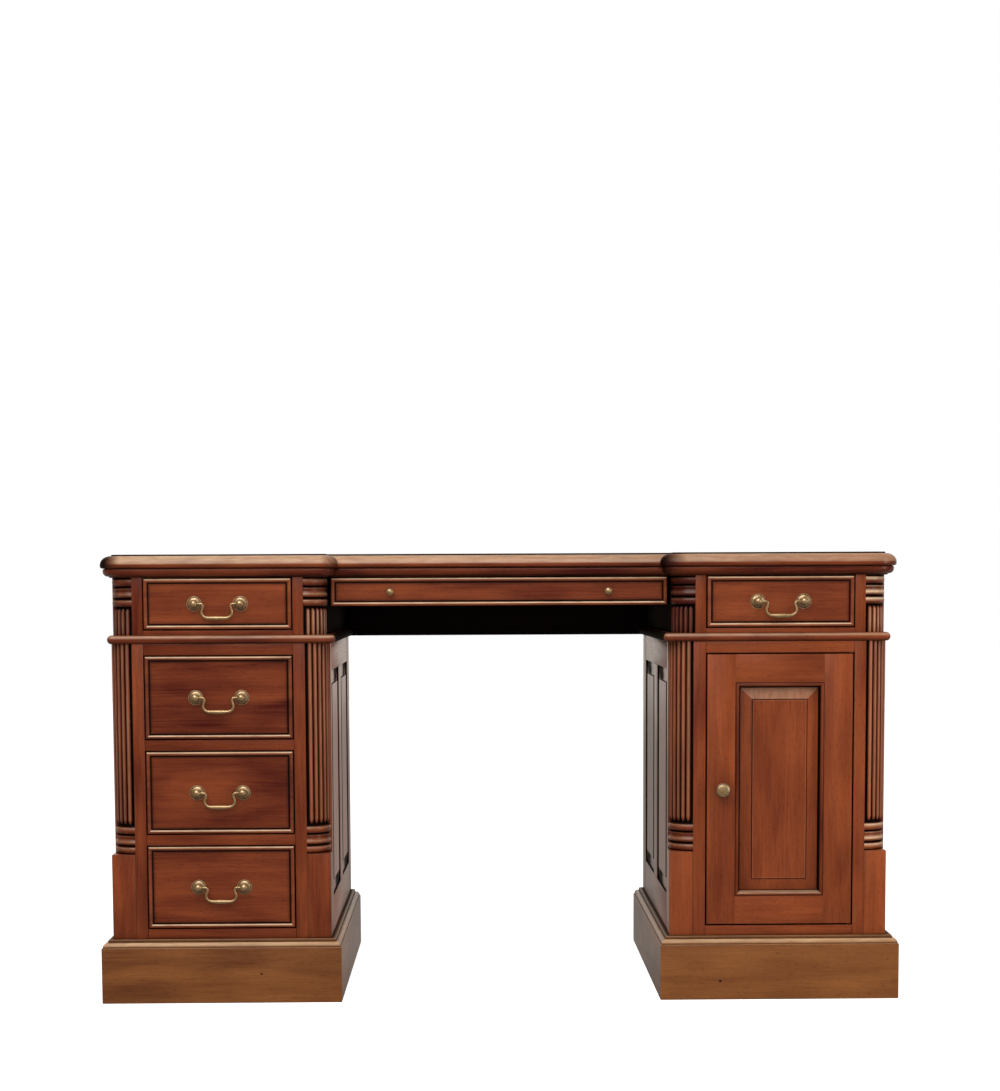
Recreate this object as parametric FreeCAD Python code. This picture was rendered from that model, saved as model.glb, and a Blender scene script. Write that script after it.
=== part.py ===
import FreeCAD, Part
import math
import os

# Breakfront twin-pedestal desk, in millimetres. +Z is up and the front faces -Y.
# The origin is on the floor, at the middle of the desk's box.

os.makedirs("parts", exist_ok=True)

# Overall sizes
desk_width = 1400.0
desk_depth = 600.0
desk_height = 785.0
pedestal_width = 384.0
edge_overhang_width = 18.0
breakfront_recess_depth = 45.0

# Heights from the floor up
plinth_height = 112.0
bottom_rail_height = 17.5
rail_height = 19.0
top_rail_height = 20.0
waist_thickness = 15.0
frieze_height = 100.0
frieze_rail_height = 8.5
centre_drawer_height = 51.5
top_moulding_thickness = 16.0
top_board_thickness = 24.0
pedestal_drawers = 3

# Timber sections
board_thickness = 22.0
stile_width = 22.0
plinth_thickness = 30.0
plinth_edge_radius = 8.0
glue_block_size = 28.0
glue_block_drop_height = 10.0
waist_projection_width = 5.0
waist_corner_radius = 9.0
waist_edge_radius = 7.2

# Top
top_corner_radius = 42.0
top_break_radius = 30.0
top_edge_radius = 13.0
top_moulding_setback = 5.0
top_moulding_edge_radius = 7.0

# Corner posts
post_block_width = 40.0
column_radius = 38.5
frieze_column_radius = 37.0
reed_count = 6
reed_depth = 4.0
base_block_height = 148.0
base_rings_height = 50.0
frieze_rings_height = 52.0
ring_radius = 39.5
ring_neck_radius = 34.0
ring_height_shares = (0.30, 0.38, 0.32)

# Side and back frames with raised panels
side_front_stile_width = 23.0
side_panel_width = 184.0
side_muntin_width = 66.0
side_bottom_rail_height = 65.0
side_top_rail_height = 50.0
back_stile_width = 60.0
panel_tongue_width = 8.0
tongue_thickness = 7.0
panel_rise_height = 5.0
side_bevel_width = 26.0

# Drawers
running_gap = 1.5
seat_gap = 0.3
front_thickness = 20.0
bead_width = 9.0
bead_rise_height = 2.5
drawer_wall_thickness = 12.0
drawer_wall_drop_height = 14.0
drawer_bottom_thickness = 6.0
drawer_bottom_lift_height = 8.0
drawer_back_clearance = 12.0
runner_overlap_width = 14.0
guide_height = 16.0
centre_runner_height = 10.0
centre_runner_lift_height = 14.0
centre_groove_depth = 6.0

# Door and cupboard
door_frame_width = 53.0
door_thickness = 20.0
door_bevel_width = 20.0
door_moulding_width = 7.0
door_moulding_rise_height = 2.5
pivot_inset = 5.0
pivot_radius = 2.0
pivot_length = 12.0
pivot_washer_radius = 4.0
pivot_fit_clearance = 0.05
door_edge_radius = 3.0
shelf_thickness = 15.0
shelf_height = 262.0
shelf_setback = 60.0
cleat_width = 14.0
cleat_height = 20.0
catch_width = 30.0
catch_depth = 12.0
catch_reach_width = 15.0

# Brass fittings
handle_spacing = 80.0
rosette_radius = 14.0
rosette_crown_radius = 8.5
rosette_thickness = 3.2
boss_radius = 7.3
boss_standoff_length = 10.0
neck_radius = 4.5
bail_radius = 1.6
bail_fit_clearance = 0.06
bail_pin_depth = 6.5
bail_pin_end_gap = 1.0
bail_arm_length = 15.5
bail_bow_width = 4.5
bail_drop_height = 26.0
bail_shoulder_radius = 3.4
bail_corner_radius = 9.0
grip_radius = 2.5
grip_length = 32.0
bolt_radius = 2.0
nut_radius = 5.0
nut_thickness = 3.0
door_knob_radius = 12.7
door_knob_length = 24.0
door_knob_inset = 29.0
small_knob_radius = 7.0
small_knob_length = 15.0
small_knob_inset = 104.5
knob_neck_share = 0.45
knob_foot_share = 0.84
knob_foot_height_share = 0.16

# Places worked out from the sizes above
body_outer = desk_width / 2 - edge_overhang_width
body_inner = body_outer - pedestal_width
pedestal_centre = (body_outer + body_inner) / 2
opening_width = pedestal_width - 2 * (post_block_width + stile_width)
interior_half = pedestal_width / 2 - board_thickness
front_reach = max(0.0, door_knob_length - edge_overhang_width)
back_y = (desk_depth + front_reach) / 2
front_y = back_y - desk_depth
face_y = front_y + edge_overhang_width
rear_y = back_y - edge_overhang_width
post_axis_y = face_y + post_block_width
frame_back_y = face_y + board_thickness
frieze_top = desk_height - top_board_thickness - top_moulding_thickness
frieze_bottom = frieze_top - frieze_height
pedestal_top = frieze_bottom - waist_thickness
openings_top = pedestal_top - top_rail_height
floor_top = plinth_height + bottom_rail_height
openings_height = openings_top - floor_top
drawer_openings_height = openings_height - (pedestal_drawers - 1) * rail_height
drawer_opening_height = drawer_openings_height / pedestal_drawers
drawer_front_width = opening_width - 2 * running_gap
interior_back_y = rear_y - board_thickness
centre_face_y = face_y + breakfront_recess_depth

pieces = {}


def vec(x, y, z):
    return FreeCAD.Vector(x, y, z)


def add(name, *shapes):
    for shape in shapes:
        pieces.setdefault(name, []).extend(shape.Solids)


def block(x_range, y_range, z_range):
    x0, x1 = sorted(x_range)
    y0, y1 = sorted(y_range)
    z0, z1 = sorted(z_range)
    return Part.makeBox(x1 - x0, y1 - y0, z1 - z0, vec(x0, y0, z0))


def mirrored(shape, x_plane=0.0):
    return shape.mirror(vec(x_plane, 0, 0), vec(1, 0, 0))


def cut_all(shape, tools):
    for tool in tools:
        shape = shape.cut(tool)
    return shape


def join(first, *others):
    joined = first.fuse(list(others)).removeSplitter()
    return joined.Solids[0]


def rounded_path(points, radii, closed):
    """Straight runs through the points, joined by tangent arcs of the given radii."""
    count = len(points)
    starts = []
    ends = []
    edges = []
    for i, (point, radius) in enumerate(zip(points, radii)):
        if radius <= 0:
            starts.append(point)
            ends.append(point)
            continue
        towards_last = (points[i - 1] - point).normalize()
        towards_next = (points[(i + 1) % count] - point).normalize()
        half = towards_last.getAngle(towards_next) / 2
        run = radius / math.tan(half)
        bisector = (towards_last + towards_next).normalize()
        middle = point + bisector * (radius / math.sin(half) - radius)
        starts.append(point + towards_last * run)
        ends.append(point + towards_next * run)
        edges.append((i, Part.Arc(starts[i], middle, ends[i]).toShape()))
    arcs = dict(edges)
    path = []
    for i in range(count):
        if i in arcs:
            path.append(arcs[i])
        if closed or i < count - 1:
            following = starts[(i + 1) % count]
            path.append(Part.makeLine(ends[i], following))
    return Part.Wire(path)


def slab(points, radii, z0, height):
    wire = rounded_path([vec(x, y, z0) for x, y in points], radii, True)
    return Part.Face(wire).extrude(vec(0, 0, height))


def round_level_edges(shape, z, radius):
    edges = []
    for edge in shape.Edges:
        box = edge.BoundBox
        if abs(box.ZMin - z) < seat_gap and abs(box.ZMax - z) < seat_gap:
            edges.append(edge)
    return shape.makeFillet(radius, edges)


# Top: the outline runs from the back left corner round the breakfront
def top_slab(inset, z0, height):
    half = desk_width / 2 - inset
    near = front_y + inset
    recessed = near + breakfront_recess_depth
    inner = body_inner - edge_overhang_width + inset
    back = back_y - inset
    outer_round = top_corner_radius - inset
    break_round = top_break_radius - inset
    right = [(inner, recessed), (inner, near), (half, near), (half, back)]
    left = [(-x, y) for x, y in reversed(right)]
    radii = [0, break_round, outer_round, 0]
    return slab(left + right, radii[::-1] + radii, z0, height)


board = top_slab(0, desk_height - top_board_thickness, top_board_thickness)
add("top_board", round_level_edges(board, desk_height, top_edge_radius))
moulding = top_slab(top_moulding_setback, frieze_top, top_moulding_thickness)
add("top_lower_board", round_level_edges(moulding, frieze_top, top_moulding_edge_radius))


# Corner posts: a quarter round of reeds, turned rings and a square block
def post_point(axis, facing, angle, radius, z):
    x = axis + facing * radius * math.cos(angle)
    return vec(x, post_axis_y - radius * math.sin(angle), z)


def reeds(axis, facing, radius, z0, z1):
    step = math.pi / 2 / reed_count
    valley = radius - reed_depth
    centre = vec(axis, post_axis_y, z0)
    edges = [Part.makeLine(centre, post_point(axis, facing, 0, valley, z0))]
    for i in range(reed_count):
        start = post_point(axis, facing, i * step, valley, z0)
        crest = post_point(axis, facing, (i + 0.5) * step, radius, z0)
        end = post_point(axis, facing, (i + 1) * step, valley, z0)
        edges.append(Part.Arc(start, crest, end).toShape())
    edges.append(Part.makeLine(post_point(axis, facing, math.pi / 2, valley, z0), centre))
    return Part.Face(Part.Wire(edges)).extrude(vec(0, 0, z1 - z0))


def rings(axis, facing, z0, z1):
    height = z1 - z0
    z = z0
    neck = post_point(axis, facing, 0, ring_neck_radius, z0)
    edges = [Part.makeLine(vec(axis, post_axis_y, z0), neck)]
    for share in ring_height_shares:
        start = post_point(axis, facing, 0, ring_neck_radius, z)
        crest = post_point(axis, facing, 0, ring_radius, z + share * height / 2)
        z += share * height
        end = post_point(axis, facing, 0, ring_neck_radius, z)
        edges.append(Part.Arc(start, crest, end).toShape())
    edges.append(Part.makeLine(end, vec(axis, post_axis_y, z)))
    edges.append(Part.makeLine(vec(axis, post_axis_y, z), vec(axis, post_axis_y, z0)))
    face = Part.Face(Part.Wire(edges))
    return face.revolve(vec(axis, post_axis_y, 0), vec(0, 0, 1), -90 * facing)


def pedestal_post(axis, facing):
    block_top = plinth_height + base_block_height
    rings_top = block_top + base_rings_height
    base_x = (axis, axis + facing * post_block_width)
    base = block(base_x, (face_y, post_axis_y), (plinth_height, block_top))
    column = reeds(axis, facing, column_radius, rings_top, pedestal_top)
    return join(base, rings(axis, facing, block_top, rings_top), column)


def frieze_post(axis, facing):
    rings_bottom = frieze_top - frieze_rings_height
    column = reeds(axis, facing, frieze_column_radius, frieze_bottom, rings_bottom)
    return join(column, rings(axis, facing, rings_bottom, frieze_top))


outer_axis = body_outer - post_block_width
inner_axis = body_inner + post_block_width
for name, side in (("left", -1), ("right", 1)):
    add(name + "_pedestal_posts", pedestal_post(side * outer_axis, side))
    add(name + "_pedestal_posts", pedestal_post(side * inner_axis, -side))
    add("frieze_posts", frieze_post(side * outer_axis, side), frieze_post(side * inner_axis, -side))


# Raised and fielded panel in its own axes: width, height, then towards the viewer
def raised_panel(u_range, v_range, bevel, thickness):
    u0, u1 = u_range
    v0, v1 = v_range
    back = (thickness - tongue_thickness) / 2
    front = back + tongue_thickness
    tongue_u = (u0 - panel_tongue_width, u1 + panel_tongue_width)
    tongue_v = (v0 - panel_tongue_width, v1 + panel_tongue_width)
    tongue = block(tongue_u, tongue_v, (back, front))

    def ring(inset, w):
        corners = [(u0 + inset, v0 + inset), (u1 - inset, v0 + inset)]
        corners += [(u1 - inset, v1 - inset), (u0 + inset, v1 - inset)]
        points = [vec(u, v, w) for u, v in corners]
        return Part.makePolygon(points + points[:1])

    field = Part.makeLoft([ring(0, front), ring(bevel, front + panel_rise_height)], True, True)
    return join(tongue, field), tongue


def frame_with_panels(members, openings, bevel, thickness):
    """Grooved frame members and the raised panels that they hold."""
    panels = []
    tongues = []
    for u_range, v_range in openings:
        panel, tongue = raised_panel(u_range, v_range, bevel, thickness)
        panels.append(panel)
        tongues.append(tongue)
    frame = [cut_all(block(u, v, (0, thickness)), tongues) for u, v in members]
    return frame, panels


def turned(shape, origin, width_axis, facing_axis):
    rotation = FreeCAD.Rotation(width_axis, vec(0, 0, 1), facing_axis)
    placed = shape.copy()
    placed.Placement = FreeCAD.Placement(origin, rotation)
    return placed


# Pedestal side frame, seen from outside, from the corner post to the back
def side_frame():
    length = rear_y - post_axis_y
    height = pedestal_top - plinth_height
    rails = (side_bottom_rail_height, height - side_top_rail_height)
    first = side_front_stile_width
    second = first + side_panel_width
    third = second + side_muntin_width
    fourth = third + side_panel_width
    members = [
        ((0, first), (0, height)),
        ((fourth, length), (0, height)),
        ((second, third), rails),
        ((first, fourth), (0, rails[0])),
        ((first, fourth), (rails[1], height)),
    ]
    openings = [((first, second), rails), ((third, fourth), rails)]
    return frame_with_panels(members, openings, side_bevel_width, board_thickness)


def back_frame():
    width = 2 * interior_half
    height = pedestal_top - plinth_height
    rails = (side_bottom_rail_height, height - side_top_rail_height)
    middle = (back_stile_width, width - back_stile_width)
    members = [
        ((0, middle[0]), (0, height)),
        ((middle[1], width), (0, height)),
        (middle, (0, rails[0])),
        (middle, (rails[1], height)),
    ]
    return frame_with_panels(members, [(middle, rails)], side_bevel_width, board_thickness)


side_origin = vec(body_outer - board_thickness, post_axis_y, plinth_height)
back_origin = vec(pedestal_centre + interior_half, interior_back_y, plinth_height)


def add_pedestal_frames():
    side_members, side_panels = side_frame()
    back_members, back_panels = back_frame()

    def outer(shape):
        return turned(shape, side_origin, vec(0, 1, 0), vec(1, 0, 0))

    def inner(shape):
        return mirrored(outer(shape), pedestal_centre)

    def rear(shape):
        return turned(shape, back_origin, vec(-1, 0, 0), vec(0, 1, 0))

    placed = {
        "pedestal_outer_side": [outer(member) for member in side_members],
        "pedestal_inner_side": [inner(member) for member in side_members],
        "pedestal_back": [rear(member) for member in back_members],
    }
    panels = [outer(panel) for panel in side_panels] + [inner(panel) for panel in side_panels]
    placed["pedestal_panels"] = panels + [rear(panel) for panel in back_panels]
    for name, solids in placed.items():
        add("right_" + name, *solids)
        add("left_" + name, *[mirrored(solid) for solid in solids])


add_pedestal_frames()


# Plinth: four mitred boards with a rounded top edge, and glue blocks in the corners
def plinth():
    x_range = (body_inner - edge_overhang_width, body_outer + edge_overhang_width)
    inner_x = (x_range[0] + plinth_thickness, x_range[1] - plinth_thickness)
    inner_y = (front_y + plinth_thickness, back_y - plinth_thickness)
    outer = [(x_range[i], y) for i, y in ((0, front_y), (1, front_y), (1, back_y), (0, back_y))]
    inner = [(inner_x[i], inner_y[j]) for i, j in ((0, 0), (1, 0), (1, 1), (0, 1))]
    solid = slab(outer, [0] * len(outer), 0, plinth_height)
    solid = round_level_edges(solid, plinth_height, plinth_edge_radius)
    solid = solid.cut(slab(inner, [0] * len(inner), 0, plinth_height))
    boards = []
    for i in range(len(outer)):
        j = (i + 1) % len(outer)
        wedge = slab([outer[i], outer[j], inner[j], inner[i]], [0] * len(outer), 0, plinth_height)
        boards.append(solid.common(wedge).Solids[0])
    blocks = []
    for x, x_step in ((inner_x[0], 1), (inner_x[1], -1)):
        for y, y_step in ((inner_y[0], 1), (inner_y[1], -1)):
            x_span = (x, x + x_step * glue_block_size)
            y_span = (y, y + y_step * glue_block_size)
            blocks.append(block(x_span, y_span, (glue_block_drop_height, plinth_height)))
    return boards + blocks


plinth_solids = plinth()
add("right_plinth", *plinth_solids)
add("left_plinth", *[mirrored(solid) for solid in plinth_solids])


# Waist board with a half-round edge, on top of each pedestal
def waist_board():
    x_range = (body_inner - waist_projection_width, body_outer + waist_projection_width)
    y_range = (face_y - waist_projection_width, rear_y + waist_projection_width)
    corners = [(x_range[0], y_range[0]), (x_range[1], y_range[0])]
    corners += [(x_range[1], y_range[1]), (x_range[0], y_range[1])]
    solid = slab(corners, [waist_corner_radius] * len(corners), pedestal_top, waist_thickness)
    solid = round_level_edges(solid, frieze_bottom, waist_edge_radius)
    return round_level_edges(solid, pedestal_top, waist_edge_radius)


waist = waist_board()
add("right_waist_board", waist)
add("left_waist_board", mirrored(waist))


# Face frames, bottom boards, frieze boards and drawer guides
def stile_range(side, inner_edge):
    far = opening_width / 2 + stile_width
    near = opening_width / 2
    return (side * pedestal_centre + inner_edge * near, side * pedestal_centre + inner_edge * far)


def opening_range(side):
    return (side * pedestal_centre - opening_width / 2, side * pedestal_centre + opening_width / 2)


def interior_range(side):
    return (side * pedestal_centre - interior_half, side * pedestal_centre + interior_half)


frame_y = (face_y, frame_back_y)
interior_y = (frame_back_y, interior_back_y)
guide_y = (post_axis_y, interior_back_y)
for name, side in (("left", -1), ("right", 1)):
    rails = [(plinth_height, floor_top), (openings_top, pedestal_top)]
    if side < 0:
        for i in range(1, pedestal_drawers):
            rail_top = floor_top + i * (drawer_opening_height + rail_height)
            rails.append((rail_top - rail_height, rail_top))
    for inner_edge in (-1, 1):
        stile_x = stile_range(side, inner_edge)
        add(name + "_face_frame", block(stile_x, frame_y, (plinth_height, pedestal_top)))
        add("frieze_face_frames", block(stile_x, frame_y, (frieze_bottom, frieze_top)))
    for rail in rails:
        add(name + "_face_frame", block(opening_range(side), frame_y, rail))
    frieze_rail = (frieze_bottom, frieze_bottom + frieze_rail_height)
    add("frieze_face_frames", block(opening_range(side), frame_y, frieze_rail))
    bottom_board = block(interior_range(side), interior_y, (plinth_height, floor_top))
    add(name + "_bottom_board", cut_all(bottom_board, pieces[name + "_pedestal_posts"]))

    frieze_z = (frieze_bottom, frieze_top)
    side_y = (post_axis_y, rear_y)
    outer_x = (side * (body_outer - board_thickness), side * body_outer)
    inner_x = (side * body_inner, side * (body_inner + board_thickness))
    add("frieze_outer_sides", block(outer_x, side_y, frieze_z))
    add("frieze_dividers", block(inner_x, side_y, frieze_z))
    add("frieze_back_boards", block(interior_range(side), (interior_back_y, rear_y), frieze_z))

back_rail_z = (frieze_bottom, frieze_top)
add("kneehole_back_rail", block((-body_inner, body_inner), (interior_back_y, rear_y), back_rail_z))
strip_half = body_inner - waist_projection_width
strip_y = (interior_back_y, rear_y + waist_projection_width)
add("kneehole_back_rail", block((-strip_half, strip_half), strip_y, (pedestal_top, frieze_bottom)))


def drawer_guides(name, side, runner_bottom, runner_top):
    for inner_edge in (-1, 1):
        wall = side * pedestal_centre + inner_edge * interior_half
        edge = side * pedestal_centre + inner_edge * opening_width / 2
        guide_z = (runner_top, runner_top + guide_height)
        add(name, block((wall, edge), guide_y, guide_z))
        if runner_top > runner_bottom:
            under = edge - inner_edge * runner_overlap_width
            add(name, block((wall, under), guide_y, (runner_bottom, runner_top)))


for side in (-1, 1):
    drawer_guides("frieze_drawer_guides", side, frieze_bottom, frieze_bottom + frieze_rail_height)
for i in range(pedestal_drawers):
    runner_top = floor_top + i * (drawer_opening_height + rail_height)
    runner_bottom = runner_top - rail_height if i else runner_top
    drawer_guides("left_drawer_guides", -1, runner_bottom, runner_top)


# Brass fittings, each with its bolt through the front and a nut inside
def bolt(x, y_face, z, through):
    shank = Part.makeCylinder(bolt_radius, through + nut_thickness, vec(x, y_face, z), vec(0, 1, 0))
    nut = Part.makeCylinder(nut_radius, nut_thickness, vec(x, y_face + through, z), vec(0, 1, 0))
    return shank, nut.cut(shank)


def bail_post(x, y_face, z, inwards, through):
    axis_y = y_face - boss_standoff_length
    shank, nut = bolt(x, y_face, z, through)
    rosette = Part.makeCone(
        rosette_radius, rosette_crown_radius, rosette_thickness, vec(x, y_face, z), vec(0, -1, 0)
    )
    neck = Part.makeCylinder(neck_radius, boss_standoff_length, vec(x, y_face, z), vec(0, -1, 0))
    boss = Part.makeSphere(boss_radius, vec(x, axis_y, z))
    solid = join(rosette, neck, boss, shank)
    depth = bail_pin_depth + bail_pin_end_gap
    mouth = vec(x + inwards * boss_radius, axis_y, z)
    bore = Part.makeCylinder(bail_radius + bail_fit_clearance, depth, mouth, vec(-inwards, 0, 0))
    return [solid.cut(bore).Solids[0], nut]


def bail(x, y_face, z):
    axis_y = y_face - boss_standoff_length
    pin_end = handle_spacing / 2 - boss_radius + bail_pin_depth
    shoulder = handle_spacing / 2 - bail_arm_length
    corner = shoulder + bail_bow_width
    half = [(pin_end, 0), (shoulder, 0), (corner, -bail_drop_height)]
    outline = half + [(-u, w) for u, w in reversed(half)]
    points = [vec(x + u, axis_y, z + w) for u, w in outline]
    radii = [0, bail_shoulder_radius, bail_corner_radius, bail_corner_radius, bail_shoulder_radius, 0]
    path = rounded_path(points, radii, False)
    ring = Part.Wire(Part.makeCircle(bail_radius, points[0], vec(1, 0, 0)))
    wire = path.makePipeShell([ring], True, False)
    grip_start = vec(x - grip_length / 2, axis_y, z - bail_drop_height)
    grip = Part.makeCylinder(grip_radius, grip_length, grip_start, vec(1, 0, 0))
    return join(wire, grip)


def knob_with_bolt(x, y_face, z, radius, length, through):
    """A ball with a flat back on a tapered foot, with the bolt that holds it."""
    shank, nut = bolt(x, y_face, z, through)
    seat = vec(x, y_face, z)
    outwards = vec(0, -1, 0)
    neck_size = radius * knob_neck_share
    foot_height = length * knob_foot_height_share
    foot = Part.makeCone(radius * knob_foot_share, neck_size, foot_height, seat, outwards)
    neck = Part.makeCylinder(neck_size, length - radius, seat, outwards)
    ball = Part.makeSphere(radius, vec(x, y_face - length + radius, z))
    room = Part.makeCylinder(2 * radius, length, vec(x, y_face - foot_height, z), outwards)
    return [join(ball.common(room), neck, foot, shank), nut]


# Drawers: a beaded front, two sides, a back and a bottom
def drawer_front(x_range, z_range, y_face, fittings):
    x0, x1 = sorted(x_range)
    z0, z1 = z_range
    front = block(x_range, (y_face - bead_rise_height, y_face + front_thickness), z_range)
    field_x = (x0 + bead_width, x1 - bead_width)
    field_z = (z0 + bead_width, z1 - bead_width)
    front = front.cut(block(field_x, (y_face - bead_rise_height, y_face), field_z))
    holes = [bolt(x, y_face, z, front_thickness)[0] for x, z in fittings]
    return cut_all(front, holes)


def drawer_box(x_range, wall_z, y_front, length, groove=None):
    x0, x1 = sorted(x_range)
    y_back = y_front + length
    walls = [
        block((x0, x0 + drawer_wall_thickness), (y_front, y_back), wall_z),
        block((x1 - drawer_wall_thickness, x1), (y_front, y_back), wall_z),
    ]
    if groove:
        walls[0] = walls[0].cut(block((x0, x0 + centre_groove_depth), (y_front, y_back), groove))
        walls[1] = walls[1].cut(block((x1 - centre_groove_depth, x1), (y_front, y_back), groove))
    inside_x = (x0 + drawer_wall_thickness, x1 - drawer_wall_thickness)
    bottom_z = wall_z[0] + drawer_bottom_lift_height
    inner_back = y_back - drawer_wall_thickness
    bottom = block(inside_x, (y_front, inner_back), (bottom_z, bottom_z + drawer_bottom_thickness))
    back = block(inside_x, (inner_back, y_back), (bottom_z, wall_z[1]))
    return walls + [back, bottom]


def handled_drawer(name, side, z0, z1):
    centre = side * pedestal_centre
    x_range = (centre - drawer_front_width / 2, centre + drawer_front_width / 2)
    front_z = (z0 + running_gap, z1 - running_gap)
    handle_z = (z0 + z1) / 2
    posts = [(centre - handle_spacing / 2, 1), (centre + handle_spacing / 2, -1)]
    add(name + "_front", drawer_front(x_range, front_z, face_y, [(x, handle_z) for x, _ in posts]))
    wall_z = (z0 + seat_gap, front_z[1] - drawer_wall_drop_height)
    y_front = face_y + front_thickness
    length = interior_back_y - drawer_back_clearance - y_front
    add(name + "_box", *drawer_box(x_range, wall_z, y_front, length))
    for x, inwards in posts:
        add(name + "_handle_posts", *bail_post(x, face_y, handle_z, inwards, front_thickness))
    add(name + "_bail", bail(centre, face_y, handle_z))


handled_drawer("left_frieze_drawer", -1, frieze_bottom + frieze_rail_height, frieze_top)
handled_drawer("right_frieze_drawer", 1, frieze_bottom + frieze_rail_height, frieze_top)
for i, name in enumerate(("lower_drawer", "middle_drawer", "upper_drawer")):
    opening_z = floor_top + i * (drawer_opening_height + rail_height)
    handled_drawer(name, -1, opening_z, opening_z + drawer_opening_height)


def centre_drawer():
    half = body_inner - running_gap
    front_z = (frieze_top - centre_drawer_height, frieze_top - running_gap)
    knob_z = (front_z[0] + front_z[1]) / 2
    knobs = [(side * (half - small_knob_inset), knob_z) for side in (-1, 1)]
    add("centre_drawer_front", drawer_front((-half, half), front_z, centre_face_y, knobs))
    for x, z in knobs:
        knob_size = (small_knob_radius, small_knob_length)
        add("centre_drawer_knobs", *knob_with_bolt(x, centre_face_y, z, *knob_size, front_thickness))
    runner_bottom = front_z[0] + centre_runner_lift_height
    runner_z = (runner_bottom, runner_bottom + centre_runner_height)
    groove_z = (runner_z[0] - seat_gap, runner_z[1] + seat_gap)
    wall_z = (front_z[0], front_z[1] - running_gap)
    y_front = centre_face_y + front_thickness
    length = interior_back_y - drawer_back_clearance - y_front
    add("centre_drawer_box", *drawer_box((-half, half), wall_z, y_front, length, groove_z))
    for side in (-1, 1):
        reach = side * (half - centre_groove_depth + seat_gap)
        runner_y = (y_front + seat_gap, interior_back_y)
        add("centre_drawer_runners", block((side * body_inner, reach), runner_y, runner_z))


centre_drawer()


# Door: frame, raised panel with a moulding round it, knob and pivot pins on the right
def door():
    x0 = pedestal_centre - drawer_front_width / 2
    width = drawer_front_width
    height = openings_height - 2 * running_gap
    bottom = floor_top + running_gap
    middle = (door_frame_width, width - door_frame_width)
    rails = (door_frame_width, height - door_frame_width)
    members = [
        ((0, middle[0]), (0, height)),
        ((middle[1], width), (0, height)),
        (middle, (0, rails[0])),
        (middle, (rails[1], height)),
    ]
    frame, panels = frame_with_panels(members, [(middle, rails)], door_bevel_width, door_thickness)
    origin = vec(x0, face_y + door_thickness, bottom)

    def placed(shape):
        return turned(shape, origin, vec(1, 0, 0), vec(0, -1, 0))

    knob_x = x0 - running_gap + door_knob_inset
    knob_z = bottom + height / 2
    pivot_x = x0 + width - pivot_inset
    pivot_y = face_y + pivot_inset
    drills = [bolt(knob_x, face_y, knob_z, door_thickness)[0]]
    for z in (bottom, bottom + height - pivot_length):
        hole_radius = pivot_radius + pivot_fit_clearance
        drills.append(Part.makeCylinder(hole_radius, pivot_length, vec(pivot_x, pivot_y, z)))
    members = [cut_all(placed(member), drills) for member in frame]
    corner = vec(x0 + width, face_y, bottom + height / 2)
    hinge_edges = [e for e in members[1].Edges if e.CenterOfMass.distanceToPoint(corner) < seat_gap]
    members[1] = members[1].makeFillet(door_edge_radius, hinge_edges)
    add("door_frame", *members)
    add("door_panel", *[placed(panel) for panel in panels])
    knob_size = (door_knob_radius, door_knob_length)
    add("door_knob", *knob_with_bolt(knob_x, face_y, knob_z, *knob_size, door_thickness))

    moulding_w = ((door_thickness + tongue_thickness) / 2, door_thickness + door_moulding_rise_height)
    step = door_moulding_width
    strips = [
        ((middle[0], middle[0] + step), rails),
        ((middle[1] - step, middle[1]), rails),
        ((middle[0] + step, middle[1] - step), (rails[0], rails[0] + step)),
        ((middle[0] + step, middle[1] - step), (rails[1] - step, rails[1])),
    ]
    panel_cut = panels[0]
    for u_range, v_range in strips:
        strip = block(u_range, v_range, moulding_w).cut(panel_cut)
        add("door_moulding", placed(strip.Solids[0]))

    reach = pivot_length - seat_gap
    for rail_z, upwards in ((floor_top, 1), (openings_top, -1)):
        start = vec(pivot_x, pivot_y, rail_z - upwards * pivot_length)
        direction = vec(0, 0, upwards)
        pin = Part.makeCylinder(pivot_radius, pivot_length + running_gap + reach, start, direction)
        seat = vec(pivot_x, pivot_y, rail_z)
        washer = Part.makeCylinder(pivot_washer_radius, running_gap - seat_gap, seat, direction)
        add("door_pivots", join(pin, washer))
    return pivot_x, pivot_y


door_pivot_x, door_pivot_y = door()
pins = pieces["door_pivots"]
pieces["right_face_frame"] = [cut_all(member, pins).Solids[0] for member in pieces["right_face_frame"]]


# Cupboard: a shelf on two cleats and the door's magnetic catch
shelf_bottom = floor_top + shelf_height
shelf_y = (face_y + shelf_setback, interior_back_y)
add("cupboard_shelf", block(interior_range(1), shelf_y, (shelf_bottom, shelf_bottom + shelf_thickness)))
for inner_edge in (-1, 1):
    wall = pedestal_centre + inner_edge * interior_half
    cleat_x = (wall, wall - inner_edge * cleat_width)
    add("shelf_cleats", block(cleat_x, shelf_y, (shelf_bottom - cleat_height, shelf_bottom)))

catch_z = (shelf_bottom - catch_width / 2, shelf_bottom + catch_width / 2)
catch_edge = pedestal_centre - opening_width / 2
catch_back_y = frame_back_y + catch_depth
catch_foot = block((catch_edge - catch_reach_width, catch_edge), (frame_back_y, catch_back_y), catch_z)
catch_front_y = face_y + door_thickness + seat_gap
catch_head_x = (catch_edge, catch_edge + catch_reach_width)
catch_head = block(catch_head_x, (catch_front_y, catch_back_y), catch_z)
add("door_catch", join(catch_foot, catch_head))


for name, solids in pieces.items():
    shape = solids[0] if len(solids) == 1 else Part.makeCompound(solids)
    if not shape.isValid():
        print("not valid:", name)
    shape.exportStep("parts/" + name + ".step")
print(len(pieces), "nodes,", sum(len(solids) for solids in pieces.values()), "solids")
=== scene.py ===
import math
import random

import bmesh
import bpy
from mathutils import Matrix, Vector


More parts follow.
